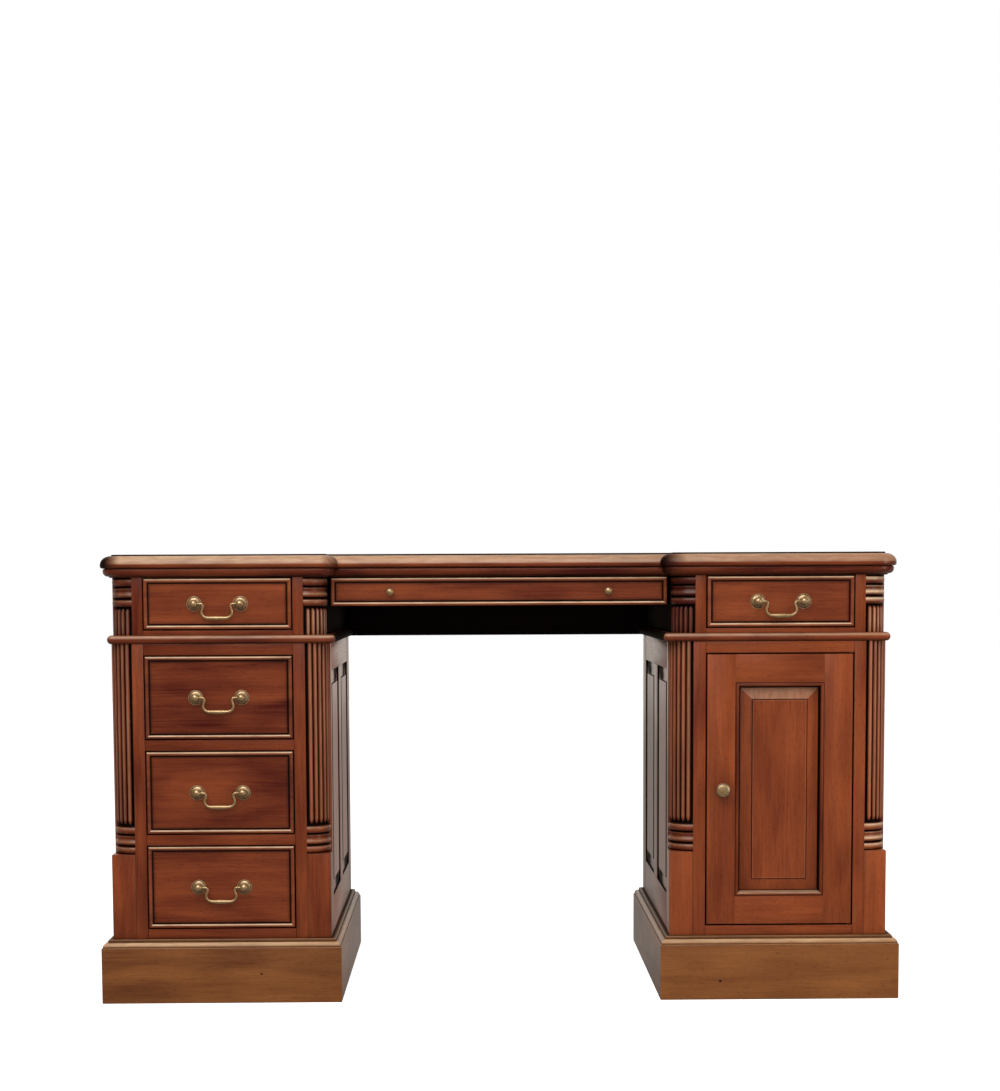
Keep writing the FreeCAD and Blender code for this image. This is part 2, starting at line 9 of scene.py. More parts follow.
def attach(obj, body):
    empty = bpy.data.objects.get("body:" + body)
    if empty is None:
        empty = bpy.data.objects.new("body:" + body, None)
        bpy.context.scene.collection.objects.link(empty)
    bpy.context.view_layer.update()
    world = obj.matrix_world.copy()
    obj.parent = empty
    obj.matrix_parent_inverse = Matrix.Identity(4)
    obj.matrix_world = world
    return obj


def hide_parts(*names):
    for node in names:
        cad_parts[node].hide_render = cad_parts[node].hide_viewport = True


# A breakfront twin-pedestal desk in stained and lacquered mahogany with antiqued brass handles.
# Lengths are in millimetres and turn to metres where a mesh is made. Those of the studio and
# the camera are in metres from the start.

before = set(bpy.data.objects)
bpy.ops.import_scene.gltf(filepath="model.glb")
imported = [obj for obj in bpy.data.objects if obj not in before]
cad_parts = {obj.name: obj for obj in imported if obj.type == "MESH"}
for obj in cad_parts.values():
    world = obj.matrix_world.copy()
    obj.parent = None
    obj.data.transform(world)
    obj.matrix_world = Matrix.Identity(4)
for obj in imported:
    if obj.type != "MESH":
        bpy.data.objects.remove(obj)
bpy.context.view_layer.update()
MM = 0.001
draw = random.Random(1880)

# Where the desk's faces lie, from the floor's middle. In the code a side is -1 for the left
# half of the desk and 1 for the right, and a way is the same within a half.
DESK_HALF = 700.0
WING_INNER = 280.0
BODY_OUTER = 682.0
BODY_INNER = 298.0
CENTRE = 490.0
FRONT = -297.0
BACK = 303.0
FACE = -279.0
BREAK = 45.0
CENTRE_FACE = FACE + BREAK
POST_AXIS_Y = -239.0
DRAWER_BACK = 251.0
CARCASE_BACK = 263.0
REAR = 285.0
PLINTH_TOP = 112.0
FLOOR_TOP = 129.5
OPENINGS_TOP = 610.0
PEDESTAL_TOP = 630.0
FRIEZE_BOTTOM = 645.0
FRIEZE_RAIL_TOP = 653.5
FRIEZE_TOP = 745.0

# Its boards, the openings between them, and the gap round a drawer or the door. A tier is
# the height of one of the left pedestal's openings.
BOARD = 22.0
STILE = 22.0
FRONT_THICK = 20.0
DRAWER_SIDE = 12.0
OPENING_HALF = 130.0
INTERIOR_HALF = 170.0
GAP = 1.5
INTERIOR = (CENTRE - INTERIOR_HALF, CENTRE + INTERIOR_HALF)
TIERS = ((FLOOR_TOP, 277.0), (296.0, 443.5), (462.5, OPENINGS_TOP))
PANEL_YS = ((-216.0, -32.0), (34.0, 218.0))
PANEL_ZS = (177.0, 580.0)
BACK_PANEL_HALF = 110.0
PANEL_RAIL_ZS = ((PLINTH_TOP, PANEL_ZS[0]), (PANEL_ZS[1], PEDESTAL_TOP))

# Ranges of depth and height that many boards share
FACE_Y = (FACE, FACE + BOARD)
BACK_Y = (CARCASE_BACK, REAR)
GUIDE_Y = (POST_AXIS_Y, CARCASE_BACK)
SHELF_Y = (-219.0, CARCASE_BACK)
PEDESTAL_Z = (PLINTH_TOP, PEDESTAL_TOP)
FRIEZE_Z = (FRIEZE_BOTTOM, FRIEZE_TOP)

# How much nearer to the drawers or the door than in the CAD model the posts stand, by side
# and way in the pedestals, and all alike in the frieze
POST_SHIFTS = {(-1, -1): 1.7, (-1, 1): 1.7, (1, -1): 0.5, (1, 1): 1.7}
FRIEZE_SHIFT = 3.5

# How far dark glaze and painted shade reach into a gap, and how round the arrises of closely fitted boards
# are
GAP_WAX_AND_SHADE = 4.0
FINE_ARRIS = 0.35


# Materials

def colour(code):
    """A colour written as sRGB hex, as the linear values that the nodes take."""
    levels = [int(code[i:i + 2], 16) / 255 for i in (1, 3, 5)]
    return [v / 12.92 if v <= 0.04045 else ((v + 0.055) / 1.055) ** 2.4 for v in levels] + [1.0]


def add(tree, kind, inputs=None, **settings):
    """Adds a node, with its settings, and a value or a link for each input that is given."""
    made = tree.nodes.new("ShaderNode" + kind)
    for name, value in settings.items():
        setattr(made, name, value)
    for name, value in (inputs or {}).items():
        if isinstance(value, bpy.types.NodeSocket):
            tree.links.new(value, made.inputs[name])
        else:
            made.inputs[name].default_value = value
    return made


def new_material(name):
    material = bpy.data.materials.new(name)
    material.use_nodes = True
    material.node_tree.nodes.clear()
    return material, material.node_tree


def per_metre(along, across):
    """How often a figure repeats in a metre, from its length and width in millimetres."""
    return (1000 / along, 1000 / across, 1000 / across)


def blend(tree, share, a, b):
    """A mix of two colours."""
    return add(tree, "Mix", {0: share, 6: a, 7: b}, data_type="RGBA").outputs[2]


def span(tree, value, low, high, to_low=0.0, to_high=1.0):
    """A value carried over from one range to another."""
    return add(tree, "MapRange", {0: value, 1: low, 2: high, 3: to_low, 4: to_high}).outputs[0]


def worked(tree, operation, *terms, **settings):
    """What an operation makes of two or more terms, one after the other."""
    running = terms[0]
    for term in terms[1:]:
        running = add(tree, "Math", {0: running, 1: term}, operation=operation, **settings).outputs[0]
    return running


def attribute(tree, name):
    return add(tree, "Attribute", attribute_name=name).outputs["Vector"]


def coordinate(tree, kind):
    return add(tree, "TexCoord").outputs[kind]


def split(tree, vector):
    return add(tree, "SeparateXYZ", {0: vector}).outputs


def figure(tree, grain, along, across, detail, bend=0.0, roughness=0.55):
    """A figure of the wood, of a length and a width in millimetres."""
    scaled = add(tree, "VectorMath", {0: grain, 1: per_metre(along, across)}, operation="MULTIPLY")
    return add(tree, "TexNoise", {"Vector": scaled.outputs[0], "Scale": 1.0, "Detail": detail,
                                  "Roughness": roughness, "Distortion": bend}).outputs[0]


def surface(material, tree, inputs):
    """Ends a material with a shader of these inputs; returns it."""
    shader = add(tree, "BsdfPrincipled", inputs)
    add(tree, "OutputMaterial", {0: shader.outputs[0]})
    return material


def stained_wood(name, deep, pale, middle, wear_and_highlight_colour, wax_and_shade, gloss, roughness, knots=0.055):
    """Wood with a stain, a dark glaze in its hollows and pale edges where the lacquer is thin.
    The same pale and dark marks also paint light: highlights on mouldings that face the
    lamps, and shade in hollows, gaps and corners.

    The grain attribute runs along, across and through each board. The finish attribute
    holds how far a place is paled by wear and painted highlight, how far it is darkened by
    glaze and painted shade, and the board's own shade, a tone that differs between boards.
    knots is how large the largest filled dents are, in cells of their pattern."""
    material, tree = new_material(name)
    grain = attribute(tree, "grain")
    wear_and_highlight, wax_and_shade_share, shade = split(tree, attribute(tree, "finish"))

    bands = figure(tree, grain, 280, 30, 3.0, 0.6)
    fibres = figure(tree, grain, 80, 2.4, 2.0, 0.2)
    mottle = figure(tree, grain, 150, 60, 1.0, 0.3)
    # Pores are a tenth of a millimetre wide. They are drawn wider so that they show.
    pores = figure(tree, grain, 11, 0.9, 1.0)
    depth = worked(
        tree, "ADD", span(tree, bands, 0.3, 0.7, -0.15, 0.15), span(tree, fibres, 0.3, 0.7, -0.08, 0.08),
        span(tree, mottle, 0.35, 0.65, -0.1, 0.1), shade, middle)
    base = blend(tree, depth, colour(deep), colour(pale))
    base = blend(tree, span(tree, pores, 0.60, 0.70, 0.0, 0.35), base, colour(wax_and_shade))

    # Small dents and knots that the wax has filled, up to a few millimetres across
    spots = add(tree, "TexVoronoi", {"Vector": grain, "Scale": 40.0})
    chance = split(tree, spots.outputs["Color"])[0]
    reach = span(tree, chance, 0.6, 1.0, 0.0, knots)
    inside = worked(tree, "SUBTRACT", reach, spots.outputs["Distance"])
    base = blend(tree, span(tree, inside, 0.0, 0.02, 0.0, 0.85), base, colour(wax_and_shade))

    # Paled by wear and painted highlights, darkened by glaze and painted shade
    patchy = span(tree, figure(tree, grain, 38, 7, 2.0, 0.4), 0.3, 0.7, 0.62, 1.12)
    base = blend(tree, worked(tree, "MULTIPLY", wear_and_highlight, patchy, use_clamp=True), base, colour(wear_and_highlight_colour))
    dull = span(tree, wax_and_shade_share, 0.0, 1.0)
    base = blend(tree, dull, base, colour(wax_and_shade))

    # Glaze fills a hollow without a shine, so the lacquer stops there. Painted shade loses its shine in the
    # same way, so it stays dark.
    rough = worked(tree, "ADD", span(tree, fibres, 0.3, 0.7, -0.05, 0.05),
                   span(tree, dull, 0.0, 1.0, roughness, roughness + 0.4))
    coat = span(tree, dull, 0.0, 1.0, gloss, 0.0)
    bump = add(tree, "Bump", {"Strength": 0.22, "Distance": 0.0004, "Height": pores})
    return surface(material, tree, {
        "Base Color": base, "Roughness": rough, "IOR": 1.45, "Specular IOR Level": 0.08,
        "Coat Weight": coat, "Coat Roughness": 0.26, "Coat IOR": 1.45, "Normal": bump.outputs[0]})


# Mahogany with a red-brown stain under satin lacquer: deep colour, a soft shine, dark glaze in
# the hollows and pale edges. The same two colours also paint shade and highlights.
mahogany = stained_wood(
    "mahogany_red_stain_satin_lacquer", "#450f06", "#9c4d24", 0.34, "#c9a684", "#0c0402", 0.55, 0.36)

# The same timber with a thinner, yellower stain on the plinths, which shows more of its grain
plinth_wood = stained_wood(
    "mahogany_yellow_stain_satin_lacquer", "#48200c", "#925a2c", 0.42, "#c8a27a", "#100704", 0.45, 0.38, 0.12)

# Plain light hardwood for what works inside, sealed but not stained, so it stays dull
lining_wood = stained_wood(
    "plain_hardwood_lining", "#9a6a42", "#c99b6c", 0.5, "#d8b58c", "#5a3a22", 0.0, 0.6)


def shadow_black():
    """Near-black wood with no shine: a painted shadow on faces deep in the kneehole."""
    material, tree = new_material("kneehole_painted_shadow")
    streaks = figure(tree, attribute(tree, "grain"), 120, 3, 3.0, roughness=0.5)
    base = blend(tree, streaks, colour("#080403"), colour("#160c08"))
    return surface(material, tree, {"Base Color": base, "Roughness": 0.85, "Specular IOR Level": 0.05})


def antique_brass():
    """Cast brass, browned, buffed bright again and lacquered: soft pale glints on warm metal,
    brown in its hollows. The same brown also paints shade and a reflection of the red wood on
    the fittings' undersides."""
    material, tree = new_material("cast_brass_antiqued")
    cloud = add(tree, "TexNoise", {"Vector": coordinate(tree, "Object"), "Scale": 260.0, "Detail": 3.0})
    patch = span(tree, cloud.outputs[0], 0.42, 0.66, 0.03, 0.38)
    wax_and_shade_share = split(tree, attribute(tree, "finish"))[1]
    brown = worked(tree, "ADD", patch, wax_and_shade_share, use_clamp=True)
    # The dark colour is patina in the hollows and, on undersides, painted shade with a painted reflection of
    # the wood.
    return surface(material, tree, {
        "Base Color": blend(tree, brown, colour("#ceac78"), colour("#4a200c")),
        "Metallic": span(tree, brown, 0.0, 1.0, 0.9, 0.35),
        "Roughness": span(tree, brown, 0.0, 1.0, 0.36, 0.6),
        "Coat Weight": 0.6, "Coat Roughness": 0.22})


def catch_plastic():
    """Moulded brown ABS of the door catch: fine spark-eroded texture, low shine."""
    material, tree = new_material("moulded_brown_abs")
    pits = add(tree, "TexNoise", {"Vector": coordinate(tree, "Object"), "Scale": 1400.0, "Detail": 2.0})
    base = blend(tree, pits.outputs[0], colour("#33241a"), colour("#443226"))
    bump = add(tree, "Bump", {"Strength": 0.3, "Distance": 0.0001, "Height": pits.outputs[0]})
    return surface(material, tree, {
        "Base Color": base, "Roughness": 0.55, "IOR": 1.54, "Normal": bump.outputs[0]})


# The painted shadow black, the second material of faces inside the kneehole
kneehole_shadow = shadow_black()
brass = antique_brass()
abs_plastic = catch_plastic()

# What a piece of the frame rides on, its slot and its material
FRAME_WOOD = ("desk_frame", "mahogany", mahogany)
FRAME_LINING = ("desk_frame", "drawer_lining", lining_wood)


# Mesh making

def new_bmesh():
    bm = bmesh.new()
    bm.loops.layers.float_vector.new("grain")
    bm.loops.layers.float_vector.new("finish")
    return bm


def middle_of(face):
    """A face's middle in millimetres."""
    return face.calc_center_median() / MM


def opening(side):
    """From where to where a pedestal's drawers or its door have their opening."""
    return side * CENTRE - OPENING_HALF, side * CENTRE + OPENING_HALF


def fitted(low, high):
    """A range of an opening, less the gap at both ends."""
    return low + GAP, high - GAP


def refinish(bm, faces, rule):
    """Works out anew how far the faces' corners are paled by wear and painted highlight, how far darkened by
    glaze and painted shade, and their board's shade.
    """
    finish = bm.loops.layers.float_vector["finish"]
    for face in faces:
        for loop in face.loops:
            loop[finish] = Vector(rule(loop, *loop[finish]))


def paint_shadow_faces(faces, rule):
    """Gives the faces that a rule picks their piece's second material, the painted shadow black."""
    for face in faces:
        face.material_index = int(rule(face))


def mark(bm, faces, wear_and_highlight, wax_and_shade):
    """Says how far faces are paled by wear and painted highlight and darkened by glaze and painted shade, and
    leaves their board's shade.
    """
    refinish(bm, faces, lambda loop, _old_wear_and_highlight, _old_wax_and_shade, shade: (wear_and_highlight, wax_and_shade, shade))


def mark_where(bm, faces, rule):
    """As mark, with the two values worked out from each corner's place."""
    refinish(bm, faces, lambda loop, _old_wear_and_highlight, _old_wax_and_shade, shade: (*rule(loop.vert.co), shade))


def wear_and_highlight_upper(bm, amount, below=math.inf):
    """Pales the wood where a moulding faces upwards: wear from cloths and dust, and a painted
    highlight where it faces the light above. Nothing higher than below, in millimetres, is paled."""
    bm.normal_update()

    def rule(loop, wear_and_highlight, wax_and_shade, shade):
        rise = min(1.0, loop.face.normal.z / 0.25)
        return wear_and_highlight + amount * rise * (1 - min(1.0, wax_and_shade)), wax_and_shade, shade

    upper = [face for face in bm.faces if face.normal.z > 0 and middle_of(face).z <= below]
    refinish(bm, upper, rule)


def cut_across(bm, axis, at):
    """Divides the faces that a plane square to an axis meets."""
    normal = Vector([float(axis == i) for i in range(3)])
    everything = [*bm.verts, *bm.edges, *bm.faces]
    bmesh.ops.bisect_plane(bm, geom=everything, plane_co=normal * (at * MM), plane_no=normal)
    bm.normal_update()


def wax_and_shade_gap_edges(bm, across, up):
    """Blackens the front of the boards' edges along a gap, whose places are given: painted shade in the gap,
    with dark glaze.
    """
    cut_across(bm, 1, FACE + GAP_WAX_AND_SHADE)
    near = 1.4
    for face in bm.faces:
        place = middle_of(face)
        if abs(face.normal.y) > 0.97 or place.y > FACE + GAP_WAX_AND_SHADE:
            continue
        if any(abs(place.x - x) < near for x in across) or any(abs(place.z - z) < near for z in up):
            mark(bm, [face], 0.0, 1.0)


def lay_grain(bm, faces, along, shade=0.0, spread=0.07):
    """Gives a board its own place in the log, its grain along one axis and its shade."""
    grain = bm.loops.layers.float_vector["grain"]
    finish = bm.loops.layers.float_vector["finish"]
    start = Vector([draw.uniform(1, 9) for _ in range(3)])
    shade += draw.uniform(-spread, spread)
    for face in faces:
        for loop in face.loops:
            place = loop.vert.co
            loop[grain] = start + Vector([place[(along + i) % 3] for i in range(3)])
            loop[finish] = Vector((loop[finish][0], loop[finish][1], shade))


def block(bm, x, y, z):
    """A plain closed block between ranges; returns its vertices."""
    low = Vector((min(x), min(y), min(z))) * MM
    high = Vector((max(x), max(y), max(z))) * MM
    made = bmesh.ops.create_cube(bm, size=1.0)["verts"]
    bmesh.ops.scale(bm, vec=high - low, verts=made)
    bmesh.ops.translate(bm, vec=(high + low) / 2, verts=made)
    return made


def soften(bm, edges, radius, segments=2):
    """Rounds edges; returns the new faces."""
    done = bmesh.ops.bevel(bm, geom=list(edges), offset=radius * MM, offset_type="OFFSET",
                           segments=segments, profile=0.5, affect="EDGES", material=-1)
    return done["faces"]


def board(bm, x, y, z, along=None, arris=0.6, shade=0.0):
    """A sawn and planed board with softened arrises, its grain along its length; returns
    its faces."""
    older = set(bm.faces)
    made = block(bm, x, y, z)
    softened = soften(bm, {edge for vert in made for edge in vert.link_edges}, arris)
    faces = [face for face in bm.faces if face not in older]
    if along is None:
        sizes = [max(r) - min(r) for r in (x, y, z)]
        along = sizes.index(max(sizes))
    mark(bm, faces, 0.0, 0.0)
    mark(bm, softened, 0.06, 0.3)
    lay_grain(bm, faces, along, shade, 0.035)
    return faces


def stepped(bm, face, steps, wear_and_highlight=0.0, wax_and_shade=0.0):
    """Carries a moulding's section round a face. A step is how far it goes in and out,
    and how far the wood there is paled by wear and painted highlight and darkened by glaze
    and painted shade."""
    for inwards, outwards, next_wear_and_highlight, next_wax_and_shade in steps:
        ring = bmesh.ops.inset_region(bm, faces=[face], thickness=inwards * MM, depth=outwards * MM,
                                      use_boundary=True, use_even_offset=True)["faces"]
        inner = set(face.verts)
        outer_marks, inner_marks = (wear_and_highlight, wax_and_shade, 0.0), (next_wear_and_highlight, next_wax_and_shade, 0.0)
        refinish(bm, ring, lambda loop, *_: inner_marks if loop.vert in inner else outer_marks)
        wear_and_highlight, wax_and_shade = next_wear_and_highlight, next_wax_and_shade
    refinish(bm, [face], lambda *_: (wear_and_highlight, wax_and_shade, 0.0))


def facing(faces, direction):
    """The face that looks most nearly in a direction."""
    return max(faces, key=lambda face: face.normal.dot(Vector(direction)))


def hollow(bm, front, back):
    """Opens a block from its front face to its back face, of the same size."""
    loops = list(front.edges) + list(back.edges)
    bmesh.ops.delete(bm, geom=[front, back], context="FACES_ONLY")
    bmesh.ops.bridge_loops(bm, edges=loops)
    bmesh.ops.recalc_face_normals(bm, faces=bm.faces)


def moved(*place):
    """A move from the origin to a place in millimetres."""
    return Matrix.Translation(Vector(place) * MM)


def merge(bm, part, place):
    """Adds one mesh to another, moved to its place."""
    bmesh.ops.transform(part, matrix=place, verts=part.verts)
    carrier = bpy.data.meshes.new("carrier")
    part.to_mesh(carrier)
    part.free()
    bm.from_mesh(carrier)
    bpy.data.meshes.remove(carrier)


def show(name, data):
    """Puts data in the scene as an object."""
    made = bpy.data.objects.new(name, data)
    bpy.context.scene.collection.objects.link(made)
    return made


def piece(bm, name, body, slot, material, *replaced, smooth_under=32, second=None):
    """Turns a mesh into a piece that rides on a body and stands for CAD nodes."""
    mesh = bpy.data.meshes.new(name)
    bm.to_mesh(mesh)
    bm.free()
    mesh.materials.append(material)
    if second:
        mesh.materials.append(second)
    mesh.shade_smooth()
    mesh.set_sharp_from_angle(angle=math.radians(smooth_under))
    made = show(name, mesh)
    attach(made, body)
    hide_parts(*replaced)


def turned_section(bm, points, origin, axis, angle, steps):
    """Turns a section of (radius, height, paling, darkening) points about an axis through origin.
    Paling is wear and painted highlight, darkening is glaze and painted shade.

    The section starts and ends on the axis. A part turn spins it as a face and a full turn
    as a line, so the shape is closed and holds no wall inside."""
    up = Vector(axis)
    older = set(bm.faces)
    line = [(r, h) for r, h, _, _ in points]
    line = [(0.0, line[0][1])] * (line[0][0] > 0) + line + [(0.0, line[-1][1])] * (line[-1][0] > 0)
    verts = [bm.verts.new((Vector(origin) + Vector((r, 0, 0)) + up * h) * MM) for r, h in line]
    if angle == 360:
        section = [bm.edges.new(pair) for pair in zip(verts, verts[1:])]
    else:
        face = bm.faces.new(verts)
        section = [face] + list(face.edges)
    bmesh.ops.spin(bm, geom=section + verts, cent=Vector(origin) * MM, axis=up,
                   angle=math.radians(angle), steps=steps, use_merge=angle == 360)
    faces = [face for face in bm.faces if face not in older]
    verts = list({vert for face in faces for vert in face.verts})
    bmesh.ops.remove_doubles(bm, verts=verts, dist=1e-6)
    faces = [face for face in bm.faces if face not in older]
    bmesh.ops.recalc_face_normals(bm, faces=faces)
    marks = [(r, h, (wear_and_highlight, wax_and_shade)) for r, h, wear_and_highlight, wax_and_shade in points]

    def rule(place):
        offset = place / MM - Vector(origin)
        h = offset.dot(up)
        r = (offset - up * h).length
        return min(marks, key=lambda m: (m[0] - r) ** 2 + (m[1] - h) ** 2)[2]

    mark_where(bm, faces, rule)


def arc_steps(width, height, count, wears_and_highlights, waxes_and_shades):
    """A quarter of an ellipse, steep at first, as steps in and out. The two values run along it."""
    steps = []
    last = (0.0, 0.0)
    for i in range(1, count + 1):
        t = math.pi / 2 * i / count
        now = (width * (1 - math.cos(t)), height * math.sin(t))
        value = [low + (high - low) * i / count for low, high in (wears_and_highlights, waxes_and_shades)]
        steps.append((now[0] - last[0], now[1] - last[1], *value))
        last = now
    return steps


# Top: two boards with a breakfront outline and moulded edges

def top_slab(bm, inset, z0, z1):
    """The breakfront outline as a slab; returns its upper and lower faces."""
    half = DESK_HALF - 2.5 - inset
    near = FRONT + inset
    inner = WING_INNER + inset
    right = [(inner, near + BREAK, 0), (inner, near, 30 - inset),
             (half, near, 42 - inset), (half, BACK - inset, 0)]
    corners = [(-x, y, r) for x, y, r in reversed(right)] + right
    verts = [bm.verts.new(Vector((x, y, z0)) * MM) for x, y, _ in corners]
    bm.faces.new(verts)
    for vert, (_, _, radius) in zip(verts, corners):
        if radius:
            bmesh.ops.bevel(bm, geom=[vert], offset=radius * MM, offset_type="OFFSET", segments=12,
                            profile=0.5, affect="VERTICES", material=-1)
    bm.faces.ensure_lookup_table()
    low = bm.faces[0]
    raised = bmesh.ops.extrude_face_region(bm, geom=[low])["geom"]
    lifted = [item for item in raised if isinstance(item, bmesh.types.BMVert)]
    bmesh.ops.translate(bm, vec=(0, 0, (z1 - z0) * MM), verts=lifted)
    bmesh.ops.recalc_face_normals(bm, faces=bm.faces)
    return facing(bm.faces, (0, 0, 1)), facing(bm.faces, (0, 0, -1))


def paint_corner_shade(bm):
    """Darkens the two inner corners of the breakfront, most at the right: painted shade."""
    # This cut gives the right corner's painted shade an end.
    cut_across(bm, 0, 325)

    def rule(loop, wear_and_highlight, wax_and_shade, shade):
        x, y, _ = loop.vert.co / MM
        if y >= FRONT + BREAK:
            return wear_and_highlight, wax_and_shade, shade
        most, reach = (1, 40) if x > 0 else (0.5, 27)
        kept = most * min(1, max(0, 1 - (abs(x) - 284) / reach))
        return wear_and_highlight * (1 - kept), max(wax_and_shade, kept), shade

    refinish(bm, bm.faces, rule)


def top_board():
    bm = new_bmesh()
    upper, lower = top_slab(bm, 1.5, 765.0, 767.0)
    # The ovolo is paled more towards its top: a painted highlight where it faces the lamps, with some wear.
    thumb = arc_steps(18.5, 15.6, 10, (0.5, 1), (0, 0))
    thumb[-1] = (*thumb[-1][:2], 0.4, 0.5)
    stepped(bm, upper, thumb + [
        (1.2, 0.1, 0, 1), (0.1, 1.8, 0, 0.9), (0.5, 0.5, 0.1, 0.2), (2.0, 0, 0, 0),
        (4.0, 0, 0, 0)])
    stepped(bm, lower, arc_steps(3.0, 3.4, 3, (0, 0), (0.05, 0.5)) + [(0.4, 0.6, 0, 0.9)])

    # The front is paled most at the left and less towards the right: a painted highlight, as the
    # light falls, with some wear. The left end itself is kept dark: painted shade where it turns from the
    # light.
    def rule(loop, wear_and_highlight, wax_and_shade, shade):
        along = loop.vert.co.x / MM + DESK_HALF
        wear_and_highlight_scale = min(1, max(0, (along - 16) / 30))
        return wear_and_highlight * wear_and_highlight_scale * (1.12 - along / 2700), max(wax_and_shade, 0.95 * (1 - wear_and_highlight_scale)), shade

    refinish(bm, bm.faces, rule)
    paint_corner_shade(bm)
    lay_grain(bm, bm.faces, 0, spread=0)
    piece(bm, "top_board_moulded", *FRAME_WOOD, "top_board")


def top_lower_board():
    bm = new_bmesh()
    upper, lower = top_slab(bm, 6, 756.0, 757.6)
    stepped(bm, upper, arc_steps(3.0, 2.8, 3, (0, 0.1), (0, 0.5)) + [(0.4, 0.6, 0, 0.9)])
    stepped(bm, lower, arc_steps(9.5, 9.0, 6, (0, 0), (0, 0.4)) + [
        (1.4, 0, 0, 0.9), (0.1, 1.6, 0, 0.4), (0.6, 0.4, 0, 0.6)])
    paint_corner_shade(bm)
    lay_grain(bm, bm.faces, 0, -0.16, 0)
    piece(bm, "top_lower_board_moulded", *FRAME_WOOD, "top_lower_board")


top_board()
top_lower_board()


# Corner posts: reeds on a quarter-round core, three turned rings and a square block

# The sections of a low and a high ring, as shares of its height and of how far it stands
# out, with how far it is paled there by wear and painted highlight and darkened by glaze and
# painted shade in the creases between rings
LOW_RING = (
    (0, 0, 0, 1), (0.08, 0.4, 0, 1), (0.2, 0.78, 0, 0.4), (0.38, 0.96, 0, 0.05),
    (0.58, 1, 0.1, 0), (0.74, 0.87, 0.25, 0), (0.87, 0.5, 0, 0.9), (0.94, 0.1, 0, 1))
HIGH_RING = (
    (0, 0, 0, 1), (0.06, 0.45, 0, 1), (0.15, 0.82, 0, 0.15), (0.27, 1, 0.1, 0),
    (0.39, 0.9, 0.25, 0), (0.5, 0.62, 0.1, 0.1), (0.64, 0.42, 0, 0.35), (0.76, 0.45, 0, 0.3),
    (0.82, 0.66, 0.05, 0.1), (0.89, 0.6, 0.1, 0.4), (0.94, 0.1, 0, 1))


def ring_section(z0, height, neck, crest, wear_and_highlight_scale):
    """Three rings from the bottom up: a round, a taller one with a hollow over it, a round."""
    points = []
    start = z0
    for share, ring in ((0.30, LOW_RING), (0.38, HIGH_RING), (0.32, LOW_RING)):
        size = share * height
        points += [(neck + out * (crest - neck), start + size * t, wear_and_highlight * wear_and_highlight_scale, wax_and_shade)
                   for t, out, wear_and_highlight, wax_and_shade in ring]
        start += size
    return points + [(neck, z0 + height, 0, 1)]


def reed(bm, axis, way, angle, radius, ends, tips, shade, wear_and_highlight_scale):
    """A round reed, sunk to half its thickness in the core, with a tapered tip at each end."""
    thick = 4.2
    out = Vector((way * math.cos(angle), -math.sin(angle), 0))
    older = set(bm.faces)
    made = bmesh.ops.create_uvsphere(bm, u_segments=20, v_segments=12, radius=thick * MM)["verts"]
    for verts, length, z in (
        ([vert for vert in made if vert.co.z > 1e-5], tips[1], ends[1] - tips[1]),
        ([vert for vert in made if vert.co.z < -1e-5], tips[0], ends[0] + tips[0]),
        ([vert for vert in made if abs(vert.co.z) <= 1e-5], thick, sum(ends) / 2),
    ):
        bmesh.ops.scale(bm, vec=(1, 1, length / thick), verts=verts)
        bmesh.ops.translate(bm, vec=(0, 0, z * MM), verts=verts)
    centre = Vector((axis, POST_AXIS_Y, 0)) * MM + out * (radius - thick) * MM
    bmesh.ops.translate(bm, vec=centre, verts=made)
    faces = [face for face in bm.faces if face not in older]

    # Crests are paled by wear and painted highlight, and the valleys between reeds are darkened by glaze and
    # painted shade.
    def rule(place):
        offset = place - centre
        reach = Vector((offset.x, offset.y, 0)).dot(out) / (thick * MM)
        return wear_and_highlight_scale * max(0, (reach - 0.8) / 0.2), min(1, max(0, (0.74 - reach) / 0.35))

    mark_where(bm, faces, rule)
    lay_grain(bm, faces, 2, shade, 0.03)


def post(bm, axis, way, radius, crest, rings, reeds, shades, wear_and_highlight_scale, block_wide=None):
    """A corner post. Its rings and reeds are ranges of height, shades are its own and its
    block's, and the pair after shades says how far its rings and its reeds are paled, by wear and by painted
    highlight."""
    core = radius - 4.3
    points = ring_section(rings[0], rings[1] - rings[0], crest - 5, crest, wear_and_highlight_scale[0])
    if rings[0] < reeds[0]:
        points += [(core, rings[1] + 0.6, 0, 1), (core, reeds[1], 0, 1)]
        ends, tips = (reeds[0] + 1, reeds[1] + 4), (14, 4)
    else:
        points = [(core, reeds[0], 0, 1), (core, rings[0] - 0.6, 0, 1)] + points
        ends, tips = (reeds[0] - 4, reeds[1] - 1), (4, 8)
    part = new_bmesh()
    turned_section(part, points, (0, 0, 0), (0, 0, 1), 90, 16)
    lay_grain(part, part.faces, 2, shades[0])
    turn = Matrix.Rotation(math.radians(-90 if way > 0 else 180), 4, "Z")
    merge(bm, part, moved(axis, POST_AXIS_Y, 0) @ turn)
    for i in range(6):
        reed(bm, axis, way, math.radians(7 + 14 * i), radius, ends, tips, shades[0], wear_and_highlight_scale[1])
    if block_wide:
        x = (axis, axis + way * block_wide)
        board(bm, x, (FACE, POST_AXIS_Y), (PLINTH_TOP, rings[0]), 2, 1.2, shades[1])


